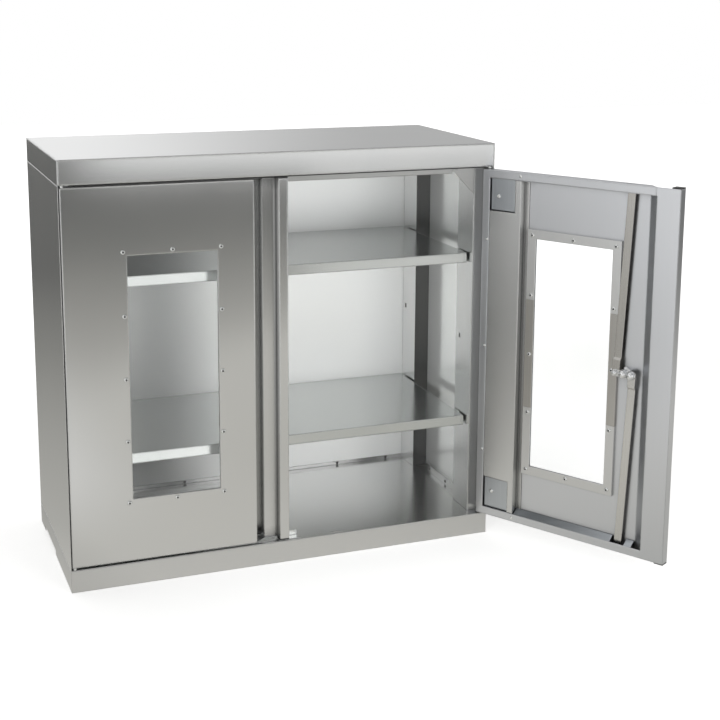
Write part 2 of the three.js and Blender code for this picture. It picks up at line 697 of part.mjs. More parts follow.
// The part of the retaining frame inside one range of X and Z, with its screws driven home.
function retainer(xRange, zRange) {
  const frame = (reach, depth) =>
    block(
      [WINDOW_LEFT - reach, WINDOW_RIGHT + reach],
      depth,
      [WINDOW_BOTTOM - reach, WINDOW_TOP + reach],
    );
  const rimInner = RETAINER_WIDTH - RETAINER_SHEET;
  const ring = cutBy(frame(RETAINER_WIDTH, [SKIN_SEAT, RETAINER_BACK]), [
    frame(rimInner, [SKIN_SEAT - OVERCUT, RETAINER_FRONT]),
    frame(0, [SKIN_SEAT, RETAINER_BACK + OVERCUT]),
  ]);
  const strip = ring.intersect(block(xRange, [0, DOOR_DEPTH], zRange));
  const inside = (value, [low, high]) => value > low && value < high;
  const screws = screwPlaces()
    .filter(([x, z]) => inside(x, xRange) && inside(z, zRange))
    .flatMap(([x, z]) => [
      throughPin(x, z, [-SEAT - SCREW_HEAD_HEIGHT / 2, RETAINER_BACK], SCREW_RADIUS, SCREW_FACETS),
      domeHead(x, z, -SEAT, -SCREW_HEAD_HEIGHT, SCREW_HEAD_RADIUS),
      domeHead(x, z, RETAINER_BACK - SEAT, SCREW_HEAD_HEIGHT + SEAT, SCREW_HEAD_RADIUS),
    ]);
  return joined([strip, ...screws]);
}

function retainerPieces(side) {
  const upperJoint = WINDOW_TOP + SCREW_FROM_WINDOW - SCREW_RISE - RETAINER_JOINT_OVERLAP;
  const lowerJoint = WINDOW_BOTTOM - SCREW_FROM_WINDOW + SCREW_RISE + RETAINER_JOINT_OVERLAP;
  const across = [0, DOOR_WIDTH];
  const middle = (WINDOW_LEFT + WINDOW_RIGHT) / 2;
  const between = [lowerJoint + SEAT, upperJoint - SEAT];
  return [
    piece(`${side}_pane_retainer_upper`, retainer(across, [upperJoint, DOOR_TOP]), BRUSHED),
    piece(`${side}_pane_retainer_lower`, retainer(across, [DOOR_BOTTOM, lowerJoint]), BRUSHED),
    piece(`${side}_pane_retainer_hinge_side`, retainer([0, middle], between), BRUSHED),
    piece(`${side}_pane_retainer_free_side`, retainer([middle, DOOR_WIDTH], between), BRUSHED),
  ];
}

// Rod lock.
function lockBarrel() {
  const flangeFront = -SEAT - BARREL_FLANGE_THICKNESS;
  const nut = [SKIN_SEAT, SKIN_SEAT + BARREL_NUT_THICKNESS];
  const body = joined([
    throughPin(LOCK_X, LOCK_Z, [flangeFront, -SEAT], BARREL_FLANGE_RADIUS),
    throughPin(LOCK_X, LOCK_Z, [flangeFront, CAM_FRONT - SEAT], BARREL_RADIUS),
    throughPin(LOCK_X, LOCK_Z, nut, BARREL_NUT_RADIUS, NUT_FACETS),
  ]);
  const bore = [flangeFront - OVERCUT, CAM_FRONT + OVERCUT];
  return body.subtract(throughPin(LOCK_X, LOCK_Z, bore, SPINDLE_RADIUS + BARREL_PLAY));
}

// The knob and its spindle, which carries the cam and ends in a capped nut.
function lockKnob() {
  const seat = -2 * SEAT - BARREL_FLANGE_THICKNESS;
  const base = seat - KNOB_BASE_HEIGHT;
  const half = KNOB_GRIP_WIDTH / 2;
  return joined([
    throughPin(LOCK_X, LOCK_Z, [base, seat], KNOB_RADIUS),
    block(
      [LOCK_X - half, LOCK_X + half],
      [base - KNOB_GRIP_HEIGHT, base + SEAT],
      [LOCK_Z - KNOB_RADIUS, LOCK_Z + KNOB_RADIUS],
    ),
    throughPin(LOCK_X, LOCK_Z, [base, CAM_BACK + 2 * SEAT], SPINDLE_RADIUS),
    domeHead(LOCK_X, LOCK_Z, CAM_BACK + SEAT, SPINDLE_CAP_HEIGHT, SPINDLE_CAP_RADIUS),
  ]);
}

// A two-armed cam with a crank pin at each end, drawn around the spindle.
function lockCam() {
  const arms = new THREE.Shape();
  arms.moveTo(LOCK_X - CRANK_RADIUS, LOCK_Z - CAM_END_RADIUS);
  arms.absarc(LOCK_X + CRANK_RADIUS, LOCK_Z, CAM_END_RADIUS, -Math.PI / 2, Math.PI / 2, false);
  arms.absarc(LOCK_X - CRANK_RADIUS, LOCK_Z, CAM_END_RADIUS, Math.PI / 2, (3 * Math.PI) / 2, false);
  const hub = throughPin(LOCK_X, LOCK_Z, [CAM_FRONT, CAM_BACK], BARREL_RADIUS);
  const pinDepth = [ROD_HEAD_FRONT - CRANK_PIN_HEAD, CAM_BACK + CRANK_PIN_HEAD];
  const pins = [-CRANK_RADIUS, CRANK_RADIUS].map((offset) =>
    throughPin(LOCK_X + offset, LOCK_Z, pinDepth, CRANK_PIN_RADIUS),
  );
  const cam = joined([frontPrism(arms, [CAM_FRONT, CAM_BACK]), hub, ...pins]);
  const bore = [CAM_FRONT - OVERCUT, CAM_BACK + OVERCUT];
  return cam.subtract(throughPin(LOCK_X, LOCK_Z, bore, SPINDLE_RADIUS + SEAT));
}

function rodReach(direction) {
  const end = direction > 0 ? DOOR_TOP : DOOR_BOTTOM;
  return Math.abs(end - LOCK_Z) - ROD_TIP_INSET;
}

function rodTilt(direction) {
  return Math.atan2(CRANK_RADIUS, rodReach(direction));
}

// A joggled flat bar, drawn upright from its crank pin at the origin.
function lockRod(direction) {
  const length = Math.hypot(rodReach(direction), CRANK_RADIUS);
  const half = ROD_WIDTH / 2;
  const jogEnd = ROD_JOG_START + ROD_JOG;
  const profile = [
    [ROD_HEAD_FRONT, -half],
    [ROD_HEAD_BACK, -half],
    [ROD_HEAD_BACK, ROD_JOG_START],
    [ROD_BACK, jogEnd],
    [ROD_BACK, length],
    [ROD_FRONT, length],
    [ROD_FRONT, jogEnd],
    [ROD_HEAD_FRONT, ROD_JOG_START],
  ];
  const outline = new THREE.Shape();
  outline.moveTo(half, length + OVERCUT);
  outline.lineTo(-half, length + OVERCUT);
  outline.absarc(0, 0, half, Math.PI, 2 * Math.PI, false);
  const bar = sidePrism(profile, [-ROD_WIDTH, ROD_WIDTH]);
  const rounded = bar.intersect(frontPrism(outline, [0, DOOR_DEPTH]));
  return rounded.subtract(throughPin(0, 0, [0, DOOR_DEPTH], CRANK_PIN_RADIUS + SEAT));
}

function placedRod(name, direction) {
  const rod = piece(name, lockRod(direction), BRUSHED);
  rod.position.set(LOCK_X - direction * CRANK_RADIUS, 0, LOCK_Z);
  rod.rotation.y = rodTilt(direction);
  rod.scale.z = direction;
  return rod;
}

function doorLeaf(side, locks) {
  const leaf = new THREE.Group();
  leaf.add(
    piece(`${side}_door_skin`, doorSkin(locks), BRUSHED),
    piece(`${side}_pull_rail`, pullRail(), BRUSHED),
    piece(`${side}_rail_cap_top`, railCap(DOOR_TOP, 1), BLACK_CAP),
    piece(`${side}_rail_cap_bottom`, railCap(DOOR_BOTTOM, -1), BLACK_CAP),
    piece(`${side}_hinge_stile`, hingeStile(), BRUSHED),
    piece(`${side}_pivot_top`, pivot(1), BRIGHT),
    piece(`${side}_pivot_bottom`, pivot(-1), BRIGHT),
    piece(`${side}_pane`, pane(), CLEAR_PANE),
    ...retainerPieces(side),
  );
  if (locks) {
    leaf.add(
      piece("lock_barrel", lockBarrel(), CHROME),
      piece("lock_knob", lockKnob(), CHROME),
      piece("lock_cam", lockCam(), CHROME),
      placedRod("upper_lock_rod", 1),
      placedRod("lower_lock_rod", -1),
    );
  }
  leaf.position.set(-PIVOT_FROM_EDGE, -PIVOT_FROM_FACE, 0);
  return leaf;
}

// Assembly.
function carcass() {
  const group = new THREE.Group();
  group.add(
    piece("top_cover", topCover(), BRUSHED),
    piece("back_panel", backPanel(), BRIGHT),
    piece("floor_panel", floorPanel(), BRUSHED),
    piece("floor_beam", floorBeam(), BRUSHED),
    piece("plinth_front", plinthFront(), BRUSHED),
    piece("plinth_back", plinthBack(), BRUSHED),
    piece("top_rail", topRail(), BRUSHED),
    piece("door_stop", doorStop(), BRIGHT),
    piece("lower_shelf", shelf(LOWER_SHELF_SLOT), BRUSHED),
    piece("upper_shelf", shelf(UPPER_SHELF_SLOT), BRUSHED),
  );
  mirroredPair(group, "side_panel", sidePanel(), BRUSHED);
  mirroredPair(group, "plinth_side", plinthSide(), BRUSHED);
  mirroredPair(group, "front_upright", upright(UPRIGHT_FRONT), BRUSHED);
  mirroredPair(group, "rear_upright", upright(REAR_UPRIGHT_FRONT), BRUSHED);
  mirroredPair(group, "top_gusset", gusset(), BRIGHT);
  const shelves = [
    ["lower", LOWER_SHELF_SLOT],
    ["upper", UPPER_SHELF_SLOT],
  ];
  for (const [level, slot] of shelves) {
    const frontClip = shelfClip(UPRIGHT_FRONT, slot);
    const rearClip = shelfClip(REAR_UPRIGHT_FRONT, slot);
    mirroredPair(group, `${level}_shelf_clip_front`, frontClip, BRIGHT);
    mirroredPair(group, `${level}_shelf_clip_rear`, rearClip, BRIGHT);
  }
  return group;
}

function hungDoor(side, locks, hand, openDegrees) {
  const hinge = new THREE.Group();
  hinge.add(doorLeaf(side, locks));
  hinge.position.set(hand * PIVOT_X, PIVOT_Y, 0);
  hinge.rotation.z = hand * THREE.MathUtils.degToRad(openDegrees);
  hinge.scale.x = -hand;
  return hinge;
}

const cabinet = new THREE.Group();
cabinet.add(
  carcass(),
  hungDoor("left", false, -1, 0),
  hungDoor("right", true, 1, RIGHT_DOOR_OPEN_DEGREES),
);

export default cabinet;
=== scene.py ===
"""Looks of a low stainless steel instrument cabinet with two clear-paned doors, one of them open.

Metres, +Z up, and the front faces -Y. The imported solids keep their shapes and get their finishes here,
and the small turned fasteners are added as pieces that ride on the solids' bodies.
"""

import json
import logging
import math
from abc import ABC, abstractmethod
from dataclasses import dataclass, replace
from enum import Enum
from typing import Any

import bmesh
import bpy
from mathutils import Euler, Matrix, Vector


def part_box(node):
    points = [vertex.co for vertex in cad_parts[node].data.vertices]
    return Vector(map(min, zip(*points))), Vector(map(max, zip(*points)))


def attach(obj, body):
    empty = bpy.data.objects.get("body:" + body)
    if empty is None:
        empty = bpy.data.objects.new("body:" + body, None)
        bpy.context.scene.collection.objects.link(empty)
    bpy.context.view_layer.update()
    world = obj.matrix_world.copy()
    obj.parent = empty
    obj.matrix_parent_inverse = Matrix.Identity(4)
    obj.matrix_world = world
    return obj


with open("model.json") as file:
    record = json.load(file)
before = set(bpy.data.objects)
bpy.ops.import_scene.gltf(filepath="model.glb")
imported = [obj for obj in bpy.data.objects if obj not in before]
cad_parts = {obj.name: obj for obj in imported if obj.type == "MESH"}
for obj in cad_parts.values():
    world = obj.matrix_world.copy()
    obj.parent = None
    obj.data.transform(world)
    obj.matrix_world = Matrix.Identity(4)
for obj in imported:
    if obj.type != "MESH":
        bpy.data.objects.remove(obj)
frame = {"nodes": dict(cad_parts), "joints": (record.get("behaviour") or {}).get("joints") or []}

Colour = tuple[float, float, float]
Point = tuple[float, float, float]
Repeats = tuple[float, float, float]
Span = tuple[float, float]
Socket = bpy.types.NodeSocket
LOG = logging.getLogger("cabinet")
PHOTO_SIDE = 720
SHARP_ANGLE = 50.0
NONE_TO_ALL: Span = (0.0, 1.0)


class Grain(Enum):
    """Direction of a sheet's brush lines: how often the noise repeats in a metre along X, Y and Z."""

    ALONG_X = (0.5, 420.0, 420.0)
    ALONG_Y = (420.0, 0.5, 420.0)
    ALONG_Z = (420.0, 420.0, 0.5)
    PLAIN = (90.0, 90.0, 90.0)


class NodeBench:
    """Adds and joins the nodes of one node tree."""

    def __init__(self, tree: bpy.types.NodeTree) -> None:
        """Empty the tree and keep it.

        Args:
            tree: node tree to fill.
        """
        self.tree = tree
        tree.nodes.clear()

    def add(self, kind: str, inputs: dict[str | int, Any], **options: Any) -> bpy.types.Node:
        """Add a node, set its options, and set or join its inputs.

        Args:
            kind: Blender's type name of the node.
            inputs: a value, or an output socket to join, for each input.
            options: values of the node's own options.

        Returns:
            The new node.
        """
        node = self.tree.nodes.new(kind)
        for option, value in options.items():
            setattr(node, option, value)
        for socket, value in inputs.items():
            if isinstance(value, Socket):
                self.tree.links.new(value, node.inputs[socket])
            else:
                node.inputs[socket].default_value = value
        return node

    def noise(self, place: Socket, repeats: Repeats, detail: float) -> Socket:
        """Add a noise that is stretched along the axes.

        Args:
            place: socket that gives the point on the surface.
            repeats: repeats in a metre along X, Y and Z.
            detail: how many finer layers the noise has.

        Returns:
            The noise's value, about 0.5 on average.
        """
        spread = self.add("ShaderNodeMapping", {"Vector": place, "Scale": repeats})
        cloud = self.add(
            "ShaderNodeTexNoise", {"Vector": spread.outputs["Vector"], "Scale": 1.0, "Detail": detail}
        )
        return cloud.outputs[0]

    def ramp(self, value: Socket, stops: list[tuple[float, Colour]]) -> Socket:
        """Turn a value into a colour.

        Args:
            value: socket that gives the value.
            stops: places from 0 to 1, in order, with their colours.

        Returns:
            The colour.
        """
        node = self.add("ShaderNodeValToRGB", {"Fac": value})
        elements = node.color_ramp.elements
        while len(elements) < len(stops):
            elements.new(1.0)
        for element, (place, colour) in zip(elements, stops):
            element.position = place
            element.color = (*colour, 1.0)
        return node.outputs["Color"]

    def span(self, value: Socket, source: Span, target: Span) -> Socket:
        """Map a value smoothly from one span to another.

        Args:
            value: socket that gives the value.
            source: span of the value.
            target: span of the result.

        Returns:
            The mapped value.
        """
        node = self.add(
            "ShaderNodeMapRange",
            {
                "Value": value,
                "From Min": source[0],
                "From Max": source[1],
                "To Min": target[0],
                "To Max": target[1],
            },
            interpolation_type="SMOOTHSTEP",
        )
        return node.outputs["Result"]

    def math(self, operation: str, first: Any, second: Any) -> Socket:
        """Join two values by a sum of the named kind."""
        return self.add("ShaderNodeMath", {0: first, 1: second}, operation=operation).outputs["Value"]

    def scale(self, colour: Socket, share: Socket) -> Socket:
        """Multiply a colour by a value."""
        return self.add("ShaderNodeVectorMath", {0: colour, 3: share}, operation="SCALE").outputs["Vector"]

    def seen(self) -> tuple[bpy.types.Node, Socket]:
        """Tell whether the camera sees the point straight or through glass.

        Returns:
            The light path, and 1 where the point is seen so.
        """
        path = self.add("ShaderNodeLightPath", {})
        camera = path.outputs["Is Camera Ray"]
        return path, self.math("MAXIMUM", camera, path.outputs["Is Transmission Ray"])


class Finish(ABC):
    """A surface finish that makes its material once."""

    name: str

    def material(self) -> bpy.types.Material:
        """Give the finish's material, made at the first call."""
        return bpy.data.materials.get(self.name) or self.make(bpy.data.materials.new(self.name))

    def make(self, material: bpy.types.Material) -> bpy.types.Material:
        """Fill an empty material.

        Args:
            material: material to fill.

        Returns:
            The same material.
        """
        material.use_nodes = True
        bench = NodeBench(material.node_tree)
        place = bench.add("ShaderNodeTexCoord", {}).outputs["Object"]
        shader = self.shader(bench, place)
        bench.add("ShaderNodeOutputMaterial", {"Surface": shader.outputs[0]})
        return material

    @abstractmethod
    def shader(self, bench: NodeBench, place: Socket) -> bpy.types.Node:
        """Add the finish's nodes.

        Args:
            bench: node tree to add to.
            place: socket that gives the point on the surface.

        Returns:
            The surface shader.
        """


@dataclass(frozen=True)
class SteelFinish(Finish):
    """Brushed or milled stainless sheet with softly rolled folds."""

    name: str
    dark: Colour
    light: Colour
    roughness: float
    grain: Grain
    mirror_share: float = 1.0
    level_shade: float = 1.0
    front_shade: float = 1.0
    roughness_spread: float = 0.005
    fold_radius: float = 0.0026
    fold_samples: int = 6
    facing_span: Span = (0.6, 0.9)
    crevice_reach: float = 0.0
    crevice_shade: float = 0.36
    crevice_span: Span = (0.45, 0.85)
    crevice_samples: int = 8
    grain_depth: float = 0.0000008
    grain_detail: float = 3.0
    grain_share: float = 0.5
    tone_span: Span = (0.36, 0.64)
    rough_span: Span = (0.3, 0.7)
    sheet_wave: float = 0.0016
    wave_repeats: Repeats = (3.1, 3.1, 2.3)
    wave_detail: float = 0.0
    cloud_repeats: Repeats = (7.0, 7.0, 7.0)
    cloud_detail: float = 2.0

    def shader(self, bench: NodeBench, place: Socket) -> bpy.types.Node:
        """Add brush lines, faint clouds, painted shade on chosen faces and in crevices, a slight wave of
        the sheet and rolled folds.

        Args:
            bench: node tree to add to.
            place: socket that gives the point on the surface.

        Returns:
            The surface shader.
        """
        lines = bench.noise(place, self.grain.value, self.grain_detail)
        clouds = bench.noise(place, self.cloud_repeats, self.cloud_detail)
        wave = bench.noise(place, self.wave_repeats, self.wave_detail)
        tone = bench.math("MULTIPLY", bench.math("ADD", lines, clouds), self.grain_share)
        colour = bench.ramp(tone, list(zip(self.tone_span, (self.dark, self.light))))
        if self.level_shade < 1.0:
            colour = self.shade_facing(bench, colour, "Z", self.level_shade)
        if self.front_shade < 1.0:
            colour = self.shade_facing(bench, colour, "Y", self.front_shade)
        if self.crevice_reach:
            colour = self.shade_crevices(bench, colour)
        smoothest = self.roughness - self.roughness_spread
        roughest = self.roughness + self.roughness_spread
        rough = bench.span(tone, self.rough_span, (smoothest, roughest))
        bowed = bench.add("ShaderNodeBump", {"Height": wave, "Strength": 1.0, "Distance": self.sheet_wave})
        brushed = bench.add(
            "ShaderNodeBump",
            {
                "Height": lines,
                "Strength": 1.0,
                "Distance": self.grain_depth,
                "Normal": bowed.outputs["Normal"],
            },
        )
        folded = bench.add(
            "ShaderNodeBevel",
            {"Radius": self.fold_radius, "Normal": brushed.outputs["Normal"]},
            samples=self.fold_samples,
        )
        return bench.add(
            "ShaderNodeBsdfPrincipled",
            {
                "Base Color": colour,
                "Metallic": self.mirror_share,
                "Roughness": rough,
                "Normal": folded.outputs["Normal"],
            },
        )

    def shade_facing(self, bench: NodeBench, colour: Socket, axis: str, shade: float) -> Socket:
        """Paint shade on the faces that look along an axis by darkening their colour.

        Args:
            bench: node tree to add to.
            colour: colour of the other faces.
            axis: letter of the axis.
            shade: share of the colour that the faces with painted shade keep.

        Returns:
            The shaded colour.
        """
        facing = bench.add("ShaderNodeNewGeometry", {}).outputs["True Normal"]
        reach = bench.add("ShaderNodeSeparateXYZ", {"Vector": facing}).outputs[axis]
        painted_facing_shade = bench.span(bench.math("ABSOLUTE", reach, 0.0), self.facing_span, (1.0, shade))
        return bench.scale(colour, painted_facing_shade)

    def shade_crevices(self, bench: NodeBench, colour: Socket) -> Socket:
        """Paint shade into the metal in narrow grooves and nooks: the colour darkens where ambient
        occlusion finds surfaces nearby.

        Args:
            bench: node tree to add to.
            colour: colour of the open sheet.

        Returns:
            The shaded colour.
        """
        nook = bench.add(
            "ShaderNodeAmbientOcclusion", {"Distance": self.crevice_reach}, samples=self.crevice_samples
        )
        clear = bench.span(nook.outputs["AO"], self.crevice_span, (self.crevice_shade, 1.0))
        return bench.scale(colour, clear)


@dataclass(frozen=True)
class TwoFacedFinish(Finish):
    """Sheet with another finish on the side that looks inwards, such as a copy with painted light or with
    lighter painted crevice shade.
    """

    name: str
    outer: SteelFinish
    inner: SteelFinish
    inward: Point
    turn: Span

    def shader(self, bench: NodeBench, place: Socket) -> bpy.types.Node:
        """Mix both finishes by the way that the surface looks.

        Args:
            bench: node tree to add to.
            place: socket that gives the point on the surface.

        Returns:
            The surface shader.
        """
        facing = bench.add("ShaderNodeTexCoord", {}).outputs["Normal"]
        along = bench.add("ShaderNodeVectorMath", {0: facing, 1: self.inward}, operation="DOT_PRODUCT")
        share = bench.span(along.outputs["Value"], self.turn, NONE_TO_ALL)
        outer = self.outer.shader(bench, place).outputs["BSDF"]
        inner = self.inner.shader(bench, place).outputs["BSDF"]
        return bench.add("ShaderNodeMixShader", {0: share, 1: outer, 2: inner})


@dataclass(frozen=True)
class PlatedFinish(Finish):
    """Polished chrome plating with faint smears."""

    name: str
    dark: Colour
    light: Colour
    roughness: float
    smear_repeats: Repeats = (160.0, 160.0, 60.0)
    smear_detail: float = 3.0
    smear_span: Span = (0.3, 0.7)
    smear_dulling: float = 2.0

    def shader(self, bench: NodeBench, place: Socket) -> bpy.types.Node:
        """Add a smeared polish.

        Args:
            bench: node tree to add to.
            place: socket that gives the point on the surface.

        Returns:
            The surface shader.
        """
        smear = bench.noise(place, self.smear_repeats, self.smear_detail)
        colour = bench.ramp(smear, list(zip(self.smear_span, (self.dark, self.light))))
        roughest = self.smear_dulling * self.roughness
        rough = bench.span(smear, self.smear_span, (self.roughness, roughest))
        return bench.add(
            "ShaderNodeBsdfPrincipled", {"Base Color": colour, "Metallic": 1.0, "Roughness": rough}
        )


@dataclass(frozen=True)
class MouldedFinish(Finish):
    """Matt moulded plastic with a fine pebbled skin."""

    name: str
    dark: Colour
    light: Colour
    roughness: float
    pebble_repeats: Repeats = (1400.0, 1400.0, 1400.0)
    pebble_detail: float = 2.0
    pebble_depth: float = 0.00008
    pebble_dulling: float = 1.2
    tone_span: Span = (0.35, 0.65)
    rough_span: Span = (0.3, 0.7)

    def shader(self, bench: NodeBench, place: Socket) -> bpy.types.Node:
        """Add a pebbled skin.

        Args:
            bench: node tree to add to.
            place: socket that gives the point on the surface.

        Returns:
            The surface shader.
        """
        pebble = bench.noise(place, self.pebble_repeats, self.pebble_detail)
        colour = bench.ramp(pebble, list(zip(self.tone_span, (self.dark, self.light))))
        roughest = self.pebble_dulling * self.roughness
        rough = bench.span(pebble, self.rough_span, (self.roughness, roughest))
        bumps = {"Height": pebble, "Strength": 1.0, "Distance": self.pebble_depth}
        skin = bench.add("ShaderNodeBump", bumps)
        return bench.add(
            "ShaderNodeBsdfPrincipled",
            {"Base Color": colour, "Roughness": rough, "Normal": skin.outputs["Normal"]},
        )


@dataclass(frozen=True)
class PaneFinish(Finish):
    """Clear flat pane with a trace of wiping marks."""

    name: str
    dark: Colour
    light: Colour
    roughness: float
    wipe_repeats: Repeats = (22.0, 22.0, 6.0)
    wipe_detail: float = 4.0
    tone_span: Span = (0.3, 0.7)
    rough_span: Span = (0.4, 0.8)
    index_of_refraction: float = 1.45

    def shader(self, bench: NodeBench, place: Socket) -> bpy.types.Node:
        """Add a clear body with wiping marks.

        Args:
            bench: node tree to add to.
            place: socket that gives the point on the surface.

        Returns:
            The surface shader.
        """
        wipe = bench.noise(place, self.wipe_repeats, self.wipe_detail)
        colour = bench.ramp(wipe, list(zip(self.tone_span, (self.dark, self.light))))
        rough = bench.span(wipe, self.rough_span, (0.0, self.roughness))
        return bench.add(
            "ShaderNodeBsdfPrincipled",
            {
                "Base Color": colour,
                "Roughness": rough,
                "Transmission Weight": 1.0,
                "IOR": self.index_of_refraction,
            },
        )


SHEET_DARK: Colour = (0.735, 0.74, 0.738)
SHEET_LIGHT: Colour = (0.757, 0.757, 0.75)
SIDE_DARK: Colour = (0.8, 0.804, 0.8)
SIDE_LIGHT: Colour = (0.81, 0.812, 0.806)
COVER_DARK: Colour = (0.795, 0.805, 0.805)
COVER_LIGHT: Colour = (0.82, 0.825, 0.82)
BRIGHT_DARK: Colour = (0.885, 0.9, 0.89)
BRIGHT_LIGHT: Colour = (0.9, 0.912, 0.9)
SHADED_DARK: Colour = (0.47, 0.475, 0.47)
SHADED_LIGHT: Colour = (0.52, 0.52, 0.51)
SHELF_DARK: Colour = (0.762, 0.785, 0.776)
SHELF_LIGHT: Colour = (0.79, 0.808, 0.794)
PLATE_DARK: Colour = (0.54, 0.57, 0.6)
PLATE_LIGHT: Colour = (0.6, 0.63, 0.66)
RIVET_DARK: Colour = (0.1, 0.1, 0.1)
RIVET_LIGHT: Colour = (0.16, 0.16, 0.155)
COOL_DARK: Colour = (0.735, 0.75, 0.776)
COOL_LIGHT: Colour = (0.746, 0.759, 0.783)
# painted light: paler straw colours for the lower lock rod
LIT_STRAW_DARK: Colour = (0.68, 0.67, 0.645)
LIT_STRAW_LIGHT: Colour = (0.72, 0.71, 0.685)
STRAW_DARK: Colour = (0.5, 0.485, 0.46)
STRAW_LIGHT: Colour = (0.56, 0.545, 0.515)

CHROME_DARK: Colour = (0.76, 0.77, 0.78)
CHROME_LIGHT: Colour = (0.86, 0.86, 0.86)
BLACK_DARK: Colour = (0.012, 0.012, 0.013)
BLACK_LIGHT: Colour = (0.024, 0.024, 0.025)
RUBBER_DARK: Colour = (0.008, 0.008, 0.008)
RUBBER_LIGHT: Colour = (0.016, 0.016, 0.016)
CLEAR_DARK: Colour = (0.975, 0.985, 0.98)
CLEAR_LIGHT: Colour = (1.0, 1.0, 1.0)

COVER_SHEET = SteelFinish(
    "cover_sheet", COVER_DARK, COVER_LIGHT, roughness=0.16, grain=Grain.ALONG_X, fold_radius=0.005
)
RAIL_SHEET = SteelFinish("rail_sheet", SHADED_DARK, SHADED_LIGHT, roughness=0.28, grain=Grain.ALONG_X)
PLINTH_SHEET = SteelFinish("plinth_sheet", SHEET_DARK, SHEET_LIGHT, roughness=0.36, grain=Grain.ALONG_X)
SIDE_SHEET = SteelFinish(
    "side_sheet", SIDE_DARK, SIDE_LIGHT, roughness=0.21, grain=Grain.ALONG_Z, fold_radius=0.0035
)
# painted light: the side panels' inner faces get a part-matt copy of the side sheet in a lighter colour
LIT_INNER_SIDE_SHEET = replace(
    SIDE_SHEET, name="lit_inner_side_sheet", dark=BRIGHT_DARK, light=BRIGHT_LIGHT,
    roughness=0.16, mirror_share=0.6,
)
# painted shade: the doors' grooves and crevices darken by ambient occlusion within 3 cm
DOOR_SHEET = SteelFinish(
    "door_sheet", SHEET_DARK, SHEET_LIGHT, roughness=0.14, grain=Grain.ALONG_Z,
    fold_radius=0.0035, crevice_reach=0.03,
)
# inner faces of the leaves: a cooler, rougher copy of the door sheet with lighter painted crevice shade
LINING_SHEET = replace(
    DOOR_SHEET, name="lining_sheet", dark=COOL_DARK, light=COOL_LIGHT, roughness=0.3, crevice_shade=0.7
)
# painted shade: shelf tops keep 0.725 of the colour, front and back lips 0.97
SHELF_SHEET = SteelFinish(
    "shelf_sheet", SHELF_DARK, SHELF_LIGHT, roughness=0.2, grain=Grain.ALONG_X,
    level_shade=0.725, front_shade=0.97, fold_radius=0.0035,
)
FLOOR_SHEET = SteelFinish("floor_sheet", SHEET_DARK, SHEET_LIGHT, roughness=0.22, grain=Grain.ALONG_Y)
POST_SHEET = SteelFinish("post_sheet", SHEET_DARK, SHEET_LIGHT, roughness=0.26, grain=Grain.ALONG_Z)
# painted shade: the rear uprights' front-facing flanges keep 0.17 of the colour
NOOK_SHEET = replace(POST_SHEET, name="nook_sheet", front_shade=0.17)
# painted shade: the hinge stiles' crevices darken by ambient occlusion within 2 cm
STILE_SHEET = replace(POST_SHEET, name="stile_sheet", crevice_reach=0.02)
PLATE_SHEET = SteelFinish(
    "plate_sheet", PLATE_DARK, PLATE_LIGHT, roughness=0.3, grain=Grain.ALONG_Z, fold_radius=0.0008
)
STRIP_SHEET = SteelFinish(
    "strip_sheet", SHEET_DARK, SHEET_LIGHT, roughness=0.3, grain=Grain.ALONG_X, fold_radius=0.0012
)
MIDDLE_STRIP = SteelFinish(
    "middle_strip", STRAW_DARK, STRAW_LIGHT, roughness=0.28, grain=Grain.ALONG_Z, fold_radius=0.0012
)
ROD_STEEL = replace(MIDDLE_STRIP, name="rod_steel", roughness=0.26)
# painted light: the lower rod gets a paler copy of the rod steel
LIT_LOWER_ROD_STEEL = replace(ROD_STEEL, name="lit_lower_rod_steel", dark=LIT_STRAW_DARK, light=LIT_STRAW_LIGHT)
BACK_SHEET = SteelFinish(
    "back_sheet", BRIGHT_DARK, BRIGHT_LIGHT, roughness=0.34, grain=Grain.ALONG_X, mirror_share=0.4
)
CLIP_SHEET = SteelFinish("clip_sheet", BRIGHT_DARK, BRIGHT_LIGHT, roughness=0.22, grain=Grain.PLAIN)
FASTENER_STEEL = replace(CLIP_SHEET, name="fastener_steel", roughness=0.16, fold_radius=0.0004)
RIVET_STEEL = SteelFinish(
    "rivet_steel", RIVET_DARK, RIVET_LIGHT, roughness=0.3, grain=Grain.PLAIN, fold_radius=0.0004
)
LOCK_CHROME = PlatedFinish("lock_chrome", CHROME_DARK, CHROME_LIGHT, roughness=0.06)
CAP_PLASTIC = MouldedFinish("cap_plastic", BLACK_DARK, BLACK_LIGHT, roughness=0.4)
# black seal rubber, also used as painted shade under the cover's skirt
SEAL_RUBBER = MouldedFinish("seal_rubber", RUBBER_DARK, RUBBER_LIGHT, roughness=0.55)
CLEAR_PANE = PaneFinish("clear_pane_sheet", CLEAR_DARK, CLEAR_LIGHT, roughness=0.012)


@dataclass(frozen=True)
class TurnedHead:
    """Head of a fastener, turned round its axis from its seat to its crown."""

    radius: float
    height: float
    outline: tuple[Span, ...]
    facets: int

    def turn(self, shape: bmesh.types.BMesh, seat: Vector, outward: Vector) -> None:
        """Add the head to a mesh.

        Args:
            shape: mesh that is being built.
            seat: middle of the head's seat.
            outward: unit direction from the seat to the crown.
        """
        tilt = Vector((0.0, 0.0, 1.0)).rotation_difference(outward).to_matrix()
        rings = []
        for reach, rise in self.outline:
            ring = []
            for index in range(self.facets):
                angle = 2.0 * math.pi * index / self.facets
                spoke = Vector((math.cos(angle), math.sin(angle), 0.0)) * (reach * self.radius)
                spoke.z = rise * self.height
                ring.append(shape.verts.new(seat + tilt @ spoke))
            rings.append(ring)
        for lower, upper in zip(rings, rings[1:]):
            for index in range(self.facets):
                after = (index + 1) % self.facets
                shape.faces.new((lower[index], lower[after], upper[after], upper[index]))
        shape.faces.new(reversed(rings[0]))
        shape.faces.new(rings[-1])


